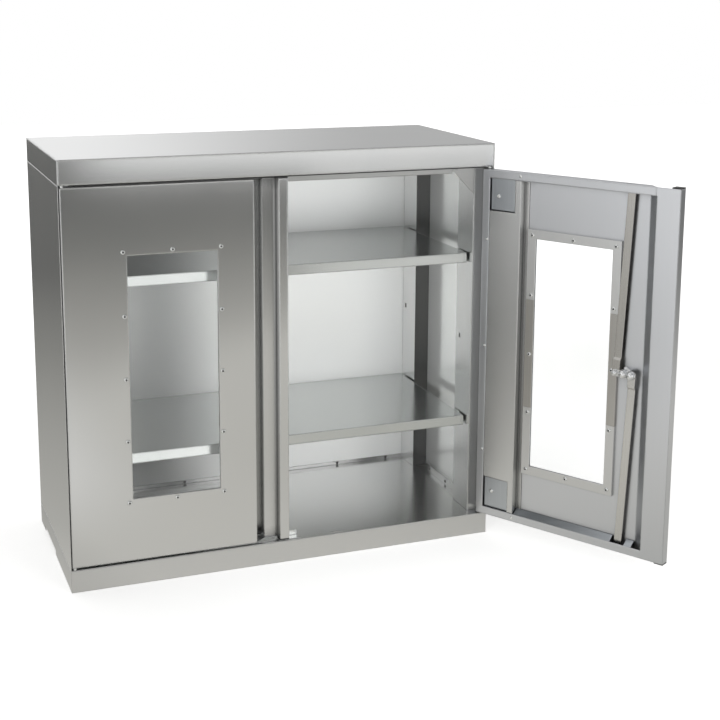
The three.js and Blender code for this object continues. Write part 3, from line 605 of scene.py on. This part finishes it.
SOCKET_CROWN = (
    (1.0, 0.0), (1.0, 0.22), (0.95, 0.5), (0.82, 0.77),
    (0.66, 0.95), (0.52, 1.0), (0.46, 0.96), (0.42, 0.3),
)
RIVET_CROWN = (
    (1.0, 0.0), (0.99, 0.2), (0.9, 0.5), (0.72, 0.8),
    (0.5, 0.96), (0.34, 1.0), (0.29, 0.9), (0.27, 0.45),
)
DOME_CROWN = ((1.0, 0.0), (1.0, 0.3), (0.96, 0.5), (0.84, 0.72), (0.64, 0.88), (0.38, 0.97), (0.12, 1.0))
DISC_CROWN = ((1.0, 0.0), (1.0, 1.0))
NUT_CROWN = ((0.93, 0.0), (1.0, 0.12), (1.0, 0.85), (0.93, 1.0))
NUT_SIDES = 6
RIVET_FACETS = 16
SCREW_FACETS = 20
DOME_FACETS = 28

WINDOW_SCREW = TurnedHead(radius=0.0047, height=0.0028, outline=SOCKET_CROWN, facets=SCREW_FACETS)
# painted shade: a black disc sits inside each window screw's socket for the shade in its recess
SCREW_SOCKET_SHADE = TurnedHead(radius=0.002, height=0.0006, outline=DISC_CROWN, facets=NUT_SIDES)
SHEET_RIVET = TurnedHead(radius=0.0034, height=0.0015, outline=RIVET_CROWN, facets=RIVET_FACETS)
FLAT_RIVET = replace(SHEET_RIVET, height=0.0009)
PIVOT_SCREW = replace(WINDOW_SCREW, radius=0.0048)
Seated = tuple[TurnedHead, Vector, Vector]


class SubAssembly(ABC):
    """A group of pieces that is built and dressed together."""

    @abstractmethod
    def build(self) -> list[bpy.types.Object]:
        """Make the pieces that are added to the solids.

        Returns:
            The new pieces.
        """

    @abstractmethod
    def dress(self) -> None:
        """Give each solid its finish."""

    def fasten(
        self, name: str, body: str, heads: list[Seated], finish: Finish, slot: str
    ) -> bpy.types.Object:
        """Build one piece from turned heads and let it ride on a body.

        Args:
            name: name of the piece.
            body: body that the piece moves with.
            heads: head, middle of its seat and outward direction of each fastener.
            finish: finish of the piece.
            slot: material slot of the record that the finish belongs to.

        Returns:
            The new piece.
        """
        shape = bmesh.new()
        for head, seat, outward in heads:
            head.turn(shape, seat, outward)
        return self.settle(name, body, shape, finish, slot)

    def sweep(self, shape: bmesh.types.BMesh, outline: list[Vector], way: Vector) -> None:
        """Add a bar to a mesh by sweeping an outline.

        Args:
            shape: mesh that is being built.
            outline: corners of the bar's start, in order.
            way: sweep from the bar's start to its end.
        """
        start = [shape.verts.new(corner) for corner in outline]
        end = [shape.verts.new(corner + way) for corner in outline]
        faces = [shape.faces.new(start), shape.faces.new(end)]
        for index in range(len(outline)):
            after = (index + 1) % len(outline)
            faces.append(shape.faces.new((start[index], start[after], end[after], end[index])))
        bmesh.ops.recalc_face_normals(shape, faces=faces)

    def settle(
        self, name: str, body: str, shape: bmesh.types.BMesh, finish: Finish, slot: str
    ) -> bpy.types.Object:
        """Turn a built mesh into a piece that rides on a body.

        Args:
            name: name of the piece.
            body: body that the piece moves with.
            shape: mesh that was built, freed here.
            finish: finish of the piece.
            slot: material slot of the record that the finish belongs to; not used here.

        Returns:
            The new piece.
        """
        mesh = bpy.data.meshes.new(name)
        shape.to_mesh(mesh)
        shape.free()
        for face in mesh.polygons:
            face.use_smooth = True
        mesh.set_sharp_from_angle(angle=math.radians(SHARP_ANGLE))
        mesh.materials.append(finish.material())
        piece = bpy.data.objects.new(name, mesh)
        bpy.context.scene.collection.objects.link(piece)
        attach(piece, body)
        return piece

    def dress_solid(self, node: str, finish: Finish) -> None:
        """Give one solid its finish.

        Args:
            node: name of the solid.
            finish: finish to give.
        """
        solid = frame["nodes"][node]
        if not solid.material_slots:
            solid.data.materials.append(finish.material())
        for place in solid.material_slots:
            place.material = finish.material()
        LOG.info("%s is finished as %s", node, finish.name)


@dataclass
class Carcass(SubAssembly):
    """Cover, sides, back, floor, plinth, posts and shelves."""

    back_rivet_pitch: float = 0.1246
    back_rivets_each_side: int = 3
    side_rivet_pitch: float = 0.0867
    side_rivets: int = 2
    rivet_below_rim: float = 0.0038
    side_rivet_below_rim: float = 0.0075
    side_rivet_start: float = 0.0745
    back_upstand_drop: float = 0.006
    side_upstand_inset: float = 0.01
    ledge_slack: float = 0.0003
    sheet: float = 0.001
    gap_over_doors: float = 0.005
    seal_half_length: float = 0.43
    seal_depth: float = 0.0034
    seal_height: float = 0.0024
    seal_setback: float = 0.0014
    seal_round: float = 0.0006
    lining_turn: Span = (0.2, 0.5)

    def build(self) -> list[bpy.types.Object]:
        """Rivet the floor's upstands and lay the black dust seal under the cover's skirt, which also paints
        the shade gap there.

        Returns:
            The new pieces.
        """
        return [self.rivet_floor(), self.lay_ledges(), self.lay_seal()]

    def lay_seal(self) -> bpy.types.Object:
        """Lay a thin black rubber strip along the lower edge of the cover's skirt; it also paints the dark
        shade gap below the skirt.

        Returns:
            The seal.
        """
        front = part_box("top_cover")[0].y + self.seal_setback
        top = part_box("left_door_skin")[1].z + self.gap_over_doors
        low = top - self.seal_height
        back = front + self.seal_depth
        cut = self.seal_round
        outline = [
            (front, top),
            (front, low + cut),
            (front + cut, low),
            (back - cut, low),
            (back, low + cut),
            (back, top),
        ]
        shape = bmesh.new()
        start = [Vector((-self.seal_half_length, y, z)) for y, z in outline]
        self.sweep(shape, start, Vector((2.0 * self.seal_half_length, 0.0, 0.0)))
        return self.settle("skirt_seal", "carcass", shape, SEAL_RUBBER, "black_cap")

    def rivet_floor(self) -> bpy.types.Object:
        """Rivet the floor's upstands to the back and the sides.

        Returns:
            The rivets.
        """
        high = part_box("floor_panel")[1]
        back_seat = high.y - self.sheet
        back_row = high.z - self.back_upstand_drop - self.rivet_below_rim
        side_seat = high.x - self.side_upstand_inset - self.sheet
        side_row = high.z - self.side_rivet_below_rim
        heads = []
        for index in range(-self.back_rivets_each_side, self.back_rivets_each_side + 1):
            seat = Vector((index * self.back_rivet_pitch, back_seat, back_row))
            heads.append((SHEET_RIVET, seat, Vector((0.0, -1.0, 0.0))))
        for side in (-1.0, 1.0):
            for index in range(self.side_rivets):
                along = self.side_rivet_start - index * self.side_rivet_pitch
                seat = Vector((side * side_seat, along, side_row))
                heads.append((SHEET_RIVET, seat, Vector((-side, 0.0, 0.0))))
        return self.fasten("floor_rivets", "carcass", heads, RIVET_STEEL, "bright_steel")

    def lay_ledges(self) -> bpy.types.Object:
        """Close the gaps between the floor's side upstands and the side panels.

        Returns:
            The ledges.
        """
        shape = bmesh.new()
        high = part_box("floor_panel")[1]
        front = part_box("right_front_upright")[1].y + self.ledge_slack
        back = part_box("right_rear_upright")[0].y - self.ledge_slack
        outer = high.x - self.ledge_slack
        inner = high.x - self.side_upstand_inset + self.ledge_slack
        low = high.z - self.sheet
        for side in (-1.0, 1.0):
            section = ((inner, low), (outer, low), (outer, high.z), (inner, high.z))
            start = [Vector((side * x, front, z)) for x, z in section]
            self.sweep(shape, start, Vector((0.0, back - front, 0.0)))
        return self.settle("floor_side_ledges", "carcass", shape, FLOOR_SHEET, "brushed_steel")

    def dress(self) -> None:
        """Give each solid of the carcass its finish."""
        finishes = {
            "top_cover": COVER_SHEET,
            "back_panel": BACK_SHEET,
            "floor_panel": FLOOR_SHEET,
            "floor_beam": PLINTH_SHEET,
            "plinth_front": PLINTH_SHEET,
            "plinth_back": PLINTH_SHEET,
            "top_rail": RAIL_SHEET,
            "door_stop": CLIP_SHEET,
            "lower_shelf": SHELF_SHEET,
            "upper_shelf": SHELF_SHEET,
        }
        for side, inward in (("left", (1.0, 0.0, 0.0)), ("right", (-1.0, 0.0, 0.0))):
            finishes[f"{side}_side_panel"] = TwoFacedFinish(
                f"{side}_side_sheet", SIDE_SHEET, LIT_INNER_SIDE_SHEET, inward, self.lining_turn
            )
            finishes[f"{side}_plinth_side"] = PLINTH_SHEET
            finishes[f"{side}_front_upright"] = POST_SHEET
            finishes[f"{side}_rear_upright"] = NOOK_SHEET
            finishes[f"{side}_top_gusset"] = RAIL_SHEET
            for level in ("lower", "upper"):
                for end in ("front", "rear"):
                    finishes[f"{side}_{level}_shelf_clip_{end}"] = CLIP_SHEET
        for node, finish in finishes.items():
            self.dress_solid(node, finish)


class Hand(Enum):
    """Which of the two door leaves is meant."""

    LEFT = "left"
    RIGHT = "right"


LINING_TURNS: dict[Hand, Span] = {Hand.LEFT: (0.2, 0.5), Hand.RIGHT: (-0.5, -0.2)}


class LeafPlace:
    """Place of a door leaf: u runs from the hinge edge, w from the face into the cabinet, and z up."""

    def __init__(self, hand: Hand) -> None:
        """Find the leaf from the closed left leaf and the right leaf's hinge.

        Args:
            hand: which leaf.
        """
        low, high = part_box("left_door_skin")
        self.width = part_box("left_pull_rail")[1].x - low.x
        self.bottom = low.z
        self.top = high.z
        self.depth = high.y - low.y
        start = Matrix.Translation((low.x, low.y, 0.0))
        if hand is Hand.LEFT:
            self.matrix = start
            return
        hinge = next(joint for joint in frame["joints"] if joint["name"] == "right_door_hinge")
        pivot = Matrix.Translation(hinge["pos_m"])
        turn = Matrix.Rotation(math.radians(-hinge["range_deg"][0]), 4, Vector(hinge["axis"]))
        mirror = Matrix.Scale(-1.0, 4, Vector((1.0, 0.0, 0.0)))
        self.matrix = pivot @ turn @ pivot.inverted() @ mirror @ start

    def point(self, u: float, w: float, z: float) -> Vector:
        """Give the point of the scene at a place on the leaf."""
        return self.matrix @ Vector((u, w, z))

    def direction(self, u: float, w: float, z: float) -> Vector:
        """Give the unit direction in the scene of a direction on the leaf."""
        return (self.matrix.to_3x3() @ Vector((u, w, z))).normalized()

    def local(self, point: Vector) -> Vector:
        """Give the place on the leaf of a point of the scene."""
        return self.matrix.inverted() @ point


@dataclass
class DoorLeaf(SubAssembly):
    """One hinged leaf with its pane, retaining strips and pull rail."""

    hand: Hand
    strip_width: float = 0.019
    screw_from_window: float = 0.0076
    screw_rows: int = 5
    socket_depth: float = 0.72
    strip_face: float = 0.0068
    lip_rivet_inset: float = 0.0125
    lip_rivet_pitch: float = 0.2295
    lip_rivets: int = 3
    end_screw_inset: float = 0.0074
    end_screw_from_hinge: float = 0.0909
    pivot_screw_inset: float = 0.054
    pivot_screw_from_hinge: float = 0.0367
    plate_reach: Span = (0.0185, 0.0768)
    plate_inset: Span = (0.006, 0.083)
    plate_face: float = 0.0152
    plate_thickness: float = 0.0012
    foot_reaches: tuple[Span, ...] = ((0.0935, 0.3245), (0.356, 0.3725))
    foot_rise: Span = (0.0142, 0.0255)
    foot_depth: Span = (0.0186, 0.0024)

    def build(self) -> list[bpy.types.Object]:
        """Fasten the pane, the return lips and the pivots.

        Returns:
            The new pieces.
        """
        place = LeafPlace(self.hand)
        body = f"{self.hand.value}_door"
        outward = place.direction(0.0, -1.0, 0.0)
        inward = place.direction(0.0, 1.0, 0.0)
        screws = []
        socket_shades = []
        for u, z in self.screw_places():
            for face, way in ((0.0, outward), (self.strip_face, inward)):
                seat = place.point(u, face, z)
                screws.append((WINDOW_SCREW, seat, way))
                # painted shade: a black disc deep in each screw's socket darkens the recess
                floor = seat + way * (self.socket_depth * WINDOW_SCREW.height)
                socket_shades.append((SCREW_SOCKET_SHADE, floor, way))
        lips = []
        middle = (place.bottom + place.top) / 2.0
        for index in range(self.lip_rivets):
            rise = (index - (self.lip_rivets - 1) / 2.0) * self.lip_rivet_pitch
            seat = place.point(self.lip_rivet_inset, place.depth, middle + rise)
            lips.append((SHEET_RIVET, seat, inward))
        for end in (place.bottom + self.end_screw_inset, place.top - self.end_screw_inset):
            seat = place.point(self.end_screw_from_hinge, place.depth, end)
            lips.append((FLAT_RIVET, seat, inward))
        pivots = []
        for end in (place.bottom + self.pivot_screw_inset, place.top - self.pivot_screw_inset):
            seat = place.point(self.pivot_screw_from_hinge, self.plate_face, end)
            pivots.append((PIVOT_SCREW, seat, inward))
        return [
            self.cover_pivots(place, body),
            self.close_foot(place, body),
            self.fasten(f"{body}_window_screws", body, screws, FASTENER_STEEL, "bright_steel"),
            # the socket discs are painted shade in the black cap plastic
            self.fasten(f"{body}_screw_socket_shades", body, socket_shades, CAP_PLASTIC, "black_cap"),
            self.fasten(f"{body}_lip_rivets", body, lips, FASTENER_STEEL, "bright_steel"),
            self.fasten(f"{body}_pivot_screws", body, pivots, FASTENER_STEEL, "bright_steel"),
        ]

    def cover_pivots(self, place: LeafPlace, body: str) -> bpy.types.Object:
        """Close both recesses over the pivots with thin plates.

        Args:
            place: place of the leaf.
            body: body that the leaf moves with.

        Returns:
            The plates.
        """
        shape = bmesh.new()
        near, far = self.plate_inset
        left, right = self.plate_reach
        back = self.plate_face - self.plate_thickness
        way = place.direction(0.0, 1.0, 0.0) * self.plate_thickness
        for low, high in (
            (place.bottom + near, place.bottom + far),
            (place.top - far, place.top - near),
        ):
            corners = ((left, low), (right, low), (right, high), (left, high))
            self.sweep(shape, [place.point(u, back, z) for u, z in corners], way)
        return self.settle(f"{body}_pivot_plates", body, shape, PLATE_SHEET, "brushed_steel")

    def close_foot(self, place: LeafPlace, body: str) -> bpy.types.Object:
        """Close the channel behind the lower return lip with sloping strips, clear of the rod.

        Args:
            place: place of the leaf.
            body: body that the leaf moves with.

        Returns:
            The strips.
        """
        shape = bmesh.new()
        outer, inner = self.foot_depth
        low, high = (place.bottom + rise for rise in self.foot_rise)
        for left, right in self.foot_reaches:
            section = (
                (outer, low),
                (inner, high),
                (inner, high - self.plate_thickness),
                (outer, low - self.plate_thickness),
            )
            way = place.direction(1.0, 0.0, 0.0) * (right - left)
            self.sweep(shape, [place.point(left, w, z) for w, z in section], way)
        return self.settle(f"{body}_foot_strips", body, shape, PLATE_SHEET, "brushed_steel")

    def screw_places(self) -> list[tuple[float, float]]:
        """Find the window's screws from the retaining strips of the closed leaf.

        Returns:
            Distance from the hinge edge and height of each screw.
        """
        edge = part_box("left_door_skin")[0].x
        inset = self.strip_width - self.screw_from_window
        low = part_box("left_pane_retainer_lower")[0]
        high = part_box("left_pane_retainer_upper")[1]
        left = low.x - edge + inset
        right = high.x - edge - inset
        bottom = low.z + inset
        top = high.z - inset
        rise = (top - bottom) / (self.screw_rows - 1)
        places = [(u, bottom + row * rise) for u in (left, right) for row in range(self.screw_rows)]
        return places + [((left + right) / 2.0, z) for z in (bottom, top)]

    def dress(self) -> None:
        """Give each solid of the leaf its finish."""
        inward = LeafPlace(self.hand).direction(0.0, 1.0, 0.0)
        name = f"{self.hand.value}_leaf_sheet"
        sheet = TwoFacedFinish(name, DOOR_SHEET, LINING_SHEET, tuple(inward), LINING_TURNS[self.hand])
        finishes = {
            "door_skin": sheet,
            "pull_rail": sheet,
            "rail_cap_top": CAP_PLASTIC,
            "rail_cap_bottom": CAP_PLASTIC,
            "hinge_stile": STILE_SHEET,
            "pivot_top": CLIP_SHEET,
            "pivot_bottom": CLIP_SHEET,
            "pane": CLEAR_PANE,
            "pane_retainer_upper": STRIP_SHEET,
            "pane_retainer_lower": STRIP_SHEET,
            "pane_retainer_hinge_side": MIDDLE_STRIP,
            "pane_retainer_free_side": MIDDLE_STRIP,
        }
        for piece, finish in finishes.items():
            self.dress_solid(f"{self.hand.value}_{piece}", finish)


@dataclass
class RodLock(SubAssembly):
    """Turning lock of the right leaf with its two rods."""

    spindle_nut_radius: float = 0.0094
    pin_nut_radii: tuple[tuple[str, float], ...] = (
        ("upper_rod_pivot", 0.0066),
        ("lower_rod_pivot", 0.0098),
    )
    nut_rise: float = 0.36
    dome_rise: float = 0.62
    dome_width: float = 0.86
    pin_lift: float = 0.0005

    def build(self) -> list[bpy.types.Object]:
        """Put domed nuts on the lock's spindle and on the pins of its cam.

        Returns:
            The new pieces.
        """
        place = LeafPlace(Hand.RIGHT)
        knob = [place.local(vertex.co) for vertex in frame["nodes"]["lock_knob"].data.vertices]
        cam = [place.local(vertex.co) for vertex in frame["nodes"]["lock_cam"].data.vertices]
        u = (max(point.x for point in knob) + min(point.x for point in knob)) / 2.0
        z = (max(point.z for point in knob) + min(point.z for point in knob)) / 2.0
        end = max(point.y for point in knob) - self.nut_rise * self.spindle_nut_radius
        heads = self.domed_nut(place, Vector((u, end, z)), self.spindle_nut_radius)
        joints = {joint["name"]: joint for joint in frame["joints"]}
        for name, radius in self.pin_nut_radii:
            pin = place.local(Vector(joints[name]["pos_m"]))
            pin.y = max(point.y for point in cam) - self.pin_lift
            heads += self.domed_nut(place, pin, radius)
        return [self.fasten("lock_domed_nuts", "lock", heads, LOCK_CHROME, "chrome")]

    def domed_nut(self, place: LeafPlace, seat: Vector, radius: float) -> list[Seated]:
        """Shape a six-sided nut with a domed cap.

        Args:
            place: place of the leaf that carries the nut.
            seat: middle of the nut's seat on the leaf.
            radius: reach of the nut's corners.

        Returns:
            Both turned heads of the nut, with their seats and directions.
        """
        inward = place.direction(0.0, 1.0, 0.0)
        height = self.nut_rise * radius
        nut = TurnedHead(radius, height, NUT_CROWN, NUT_SIDES)
        dome = TurnedHead(self.dome_width * radius, self.dome_rise * radius, DOME_CROWN, DOME_FACETS)
        crown = seat + Vector((0.0, height, 0.0))
        return [(nut, place.point(*seat), inward), (dome, place.point(*crown), inward)]

    def dress(self) -> None:
        """Give each solid of the lock its finish."""
        for node in ("lock_barrel", "lock_knob", "lock_cam"):
            self.dress_solid(node, LOCK_CHROME)
        self.dress_solid("upper_lock_rod", ROD_STEEL)
        self.dress_solid("lower_lock_rod", LIT_LOWER_ROD_STEEL)


@dataclass(frozen=True)
class SoftBox:
    """A soft lamp that shines from its place towards its aim."""

    name: str
    place: Point
    aim: Point
    width: float
    height: float
    radiance: float
    in_metal: bool = True
    spread: float = 180.0

    def make(self) -> bpy.types.Object:
        """Make the lamp, unseen by the camera.

        Returns:
            The lamp.
        """
        light = bpy.data.lights.new(self.name, "AREA")
        light.shape = "RECTANGLE"
        light.size = self.width
        light.size_y = self.height
        light.energy = self.radiance * math.pi * self.width * self.height
        light.spread = math.radians(self.spread)
        lamp = bpy.data.objects.new(self.name, light)
        lamp.location = self.place
        lamp.rotation_euler = (Vector(self.aim) - Vector(self.place)).to_track_quat("-Z", "Y").to_euler()
        lamp.visible_camera = False
        lamp.visible_transmission = False
        lamp.visible_glossy = self.in_metal
        bpy.context.scene.collection.objects.link(lamp)
        LOG.info("%s lights the cabinet", self.name)
        return lamp


SOFT_BOXES = (
    SoftBox(
        "front_softbox", place=(1.5, -2.6, 0.98), aim=(1.5, 0.0, 0.98), width=3.0, height=0.95,
        radiance=0.97,
    ),
    SoftBox(
        "inner_softbox", place=(1.0, -1.45, 0.33), aim=(0.75, 0.2, 0.36), width=1.0, height=0.6,
        radiance=0.33,
    ),
    SoftBox(
        "fill_softbox", place=(0.5, -2.0, 0.42), aim=(0.3, 0.2, 0.36), width=0.9, height=0.6, radiance=2.8,
        in_metal=False, spread=70.0,
    ),
    SoftBox(
        "wall_softbox", place=(-1.2, -1.6, 0.5), aim=(0.44, 0.0, 0.45), width=0.6, height=0.5, radiance=1.6,
        in_metal=False, spread=40.0,
    ),
    SoftBox(
        "left_softbox", place=(-2.4, -0.9, 0.7), aim=(0.3, -0.4, 0.7), width=1.8, height=1.4, radiance=0.3
    ),
    SoftBox(
        "top_softbox", place=(0.0, -0.3, 3.2), aim=(0.0, 0.0, 0.0), width=3.2, height=2.6, radiance=0.9,
        in_metal=False,
    ),
)


@dataclass
class Studio:
    """Pale floor, soft lamps, white surroundings and the camera."""

    floor_reach: float = 9.0
    floor_cells: int = 12
    floor_colour: Colour = (0.86, 0.86, 0.85)
    speckle_colour: Colour = (0.85, 0.85, 0.84)
    speckle_repeats: Repeats = (260.0, 260.0, 260.0)
    speckle_detail: float = 2.0
    speckle_span: Span = (0.3, 0.7)
    floor_lifts: Span = (0.38, 0.8)
    lift_reach: Span = (1.6, 3.6)
    bright_spot: Point = (0.9, -0.7, 0.0)
    fade_reach: float = 4.0
    fade_tones: tuple[tuple[float, Colour], ...] = (
        (0.1, (0.5, 0.495, 0.465)),
        (0.22, (0.61, 0.6, 0.565)),
        (0.32, (0.63, 0.62, 0.585)),
        (0.41, (0.44, 0.435, 0.41)),
        (0.72, (0.25, 0.25, 0.235)),
        (1.0, (0.14, 0.14, 0.135)),
    )
    glow_tone: Colour = (0.85, 0.85, 0.84)
    glow_across: Span = (-0.1, -0.5)
    glow_along: Span = (-0.35, -0.95)
    front_tone: float = 0.2
    front_left: Span = (-0.05, -0.4)
    front_left_tone: float = 0.8
    bright_side: Span = (0.14, 0.38)
    side_tones: Span = (0.92, 0.47)
    far_left: Span = (-0.35, -0.85)
    far_left_tone: float = 0.7
    back_turn: Span = (-0.6, 0.2)
    camera_place: Point = (-0.8371, -2.76, 1.1766)
    camera_yaw: float = 21.116
    camera_pitch: float = 11.107
    camera_roll: float = 0.349
    focal_pixels: float = 1379.5
    horizon_shift: float = -0.1458
    sensor_width: float = 36.0

    def build(self) -> None:
        """Make everything round the cabinet."""
        self.make_floor()
        self.make_world()
        self.make_camera()
        for lamp in SOFT_BOXES:
            lamp.make()

    def make_floor(self) -> None:
        """Lay the floor."""
        shape = bmesh.new()
        cells = self.floor_cells
        bmesh.ops.create_grid(shape, x_segments=cells, y_segments=cells, size=self.floor_reach)
        mesh = bpy.data.meshes.new("studio_floor")
        shape.to_mesh(mesh)
        shape.free()
        material = bpy.data.materials.new("studio_paper")
        material.use_nodes = True
        self.fill_paper(NodeBench(material.node_tree))
        mesh.materials.append(material)
        floor = bpy.data.objects.new("studio_floor", mesh)
        bpy.context.scene.collection.objects.link(floor)
        LOG.info("studio_floor lies under the cabinet")

    def fill_paper(self, bench: NodeBench) -> None:
        """Make the floor's paper: white to the camera with a faint shadow, and fading in the metal.

        Args:
            bench: node tree of the paper.
        """
        path, seen = bench.seen()
        spot = bench.add("ShaderNodeNewGeometry", {}).outputs["Position"]
        measure = bench.add("ShaderNodeVectorMath", {0: spot, 1: self.bright_spot}, operation="DISTANCE")
        away = measure.outputs["Value"]
        rise = bench.span(away, self.lift_reach, self.floor_lifts)
        lift = bench.add("ShaderNodeEmission", {"Strength": bench.math("MULTIPLY", seen, rise)})
        speckle = bench.noise(spot, self.speckle_repeats, self.speckle_detail)
        tones = list(zip(self.speckle_span, (self.speckle_colour, self.floor_colour)))
        paper = bench.add("ShaderNodeBsdfDiffuse", {"Color": bench.ramp(speckle, tones)})
        lit = bench.add("ShaderNodeAddShader", {0: paper.outputs["BSDF"], 1: lift.outputs["Emission"]})
        in_metal = bench.math("GREATER_THAN", path.outputs["Is Glossy Ray"], seen)
        surface = bench.add(
            "ShaderNodeMixShader",
            {0: in_metal, 1: lit.outputs["Shader"], 2: self.mirrored_paper(bench, spot, away)},
        )
        bench.add("ShaderNodeOutputMaterial", {"Surface": surface.outputs["Shader"]})

    def mirrored_paper(self, bench: NodeBench, spot: Socket, away: Socket) -> Socket:
        """Make the paper as the metal sees it: fading with distance, with a glow at the front left.

        Args:
            bench: node tree of the paper.
            spot: socket that gives the point on the floor.
            away: socket that gives the distance from the bright spot.

        Returns:
            The shader.
        """
        fade = bench.math("DIVIDE", away, self.fade_reach)
        fading = bench.add("ShaderNodeEmission", {"Color": bench.ramp(fade, list(self.fade_tones))})
        glow = bench.add("ShaderNodeEmission", {"Color": (*self.glow_tone, 1.0)})
        parts = bench.add("ShaderNodeSeparateXYZ", {"Vector": spot})
        left = bench.span(parts.outputs["X"], self.glow_across, NONE_TO_ALL)
        front = bench.span(parts.outputs["Y"], self.glow_along, NONE_TO_ALL)
        share = bench.math("MULTIPLY", left, front)
        mirrored = bench.add(
            "ShaderNodeMixShader", {0: share, 1: fading.outputs["Emission"], 2: glow.outputs["Emission"]}
        )
        return mirrored.outputs["Shader"]

    def make_world(self) -> None:
        """Make the surroundings: white, but dimmer in front of the cabinet as the metal sees them."""
        world = bpy.data.worlds.new("studio_surroundings")
        world.use_nodes = True
        bench = NodeBench(world.node_tree)
        seen = bench.seen()[1]
        way = bench.add("ShaderNodeTexCoord", {}).outputs["Generated"]
        parts = bench.add("ShaderNodeSeparateXYZ", {"Vector": way})
        across = parts.outputs["X"]
        back = bench.span(across, self.bright_side, self.side_tones)
        front = bench.span(across, self.front_left, (self.front_tone, self.front_left_tone))
        left = bench.span(across, self.far_left, (1.0, self.far_left_tone))
        turn = bench.span(parts.outputs["Y"], self.back_turn, NONE_TO_ALL)
        round_about = bench.add("ShaderNodeMix", {0: turn, 2: front, 3: back}).outputs[0]
        strength = bench.math("MAXIMUM", seen, bench.math("MULTIPLY", round_about, left))
        white = (1.0, 1.0, 1.0, 1.0)
        light = bench.add("ShaderNodeBackground", {"Color": white, "Strength": strength})
        bench.add("ShaderNodeOutputWorld", {"Surface": light.outputs["Background"]})
        bpy.context.scene.world = world
        LOG.info("studio_surroundings are set")

    def make_camera(self) -> None:
        """Set the camera at the photograph's place, turn and lens."""
        data = bpy.data.cameras.new("photo_camera")
        data.sensor_width = self.sensor_width
        data.lens = self.focal_pixels / PHOTO_SIDE * self.sensor_width
        data.shift_y = self.horizon_shift
        camera = bpy.data.objects.new("photo_camera", data)
        camera.location = self.camera_place
        level = Euler((math.radians(90.0 - self.camera_pitch), 0.0, math.radians(-self.camera_yaw)))
        roll = Matrix.Rotation(math.radians(self.camera_roll), 3, "Z")
        camera.rotation_euler = (level.to_matrix() @ roll).to_euler()
        bpy.context.scene.collection.objects.link(camera)
        bpy.context.scene.camera = camera
        LOG.info("photo_camera is set")


def main() -> None:
    """Build and dress the cabinet, then the studio."""
    logging.basicConfig(level=logging.INFO, format="%(message)s")
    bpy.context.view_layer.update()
    bpy.context.scene.view_settings.view_transform = "Standard"
    assemblies: list[SubAssembly] = [Carcass(), DoorLeaf(Hand.LEFT), DoorLeaf(Hand.RIGHT), RodLock()]
    for assembly in assemblies:
        assembly.dress()
        for piece in assembly.build():
            LOG.info("%s is built", piece.name)
    Studio().build()


if __name__ == "__main__":
    main()
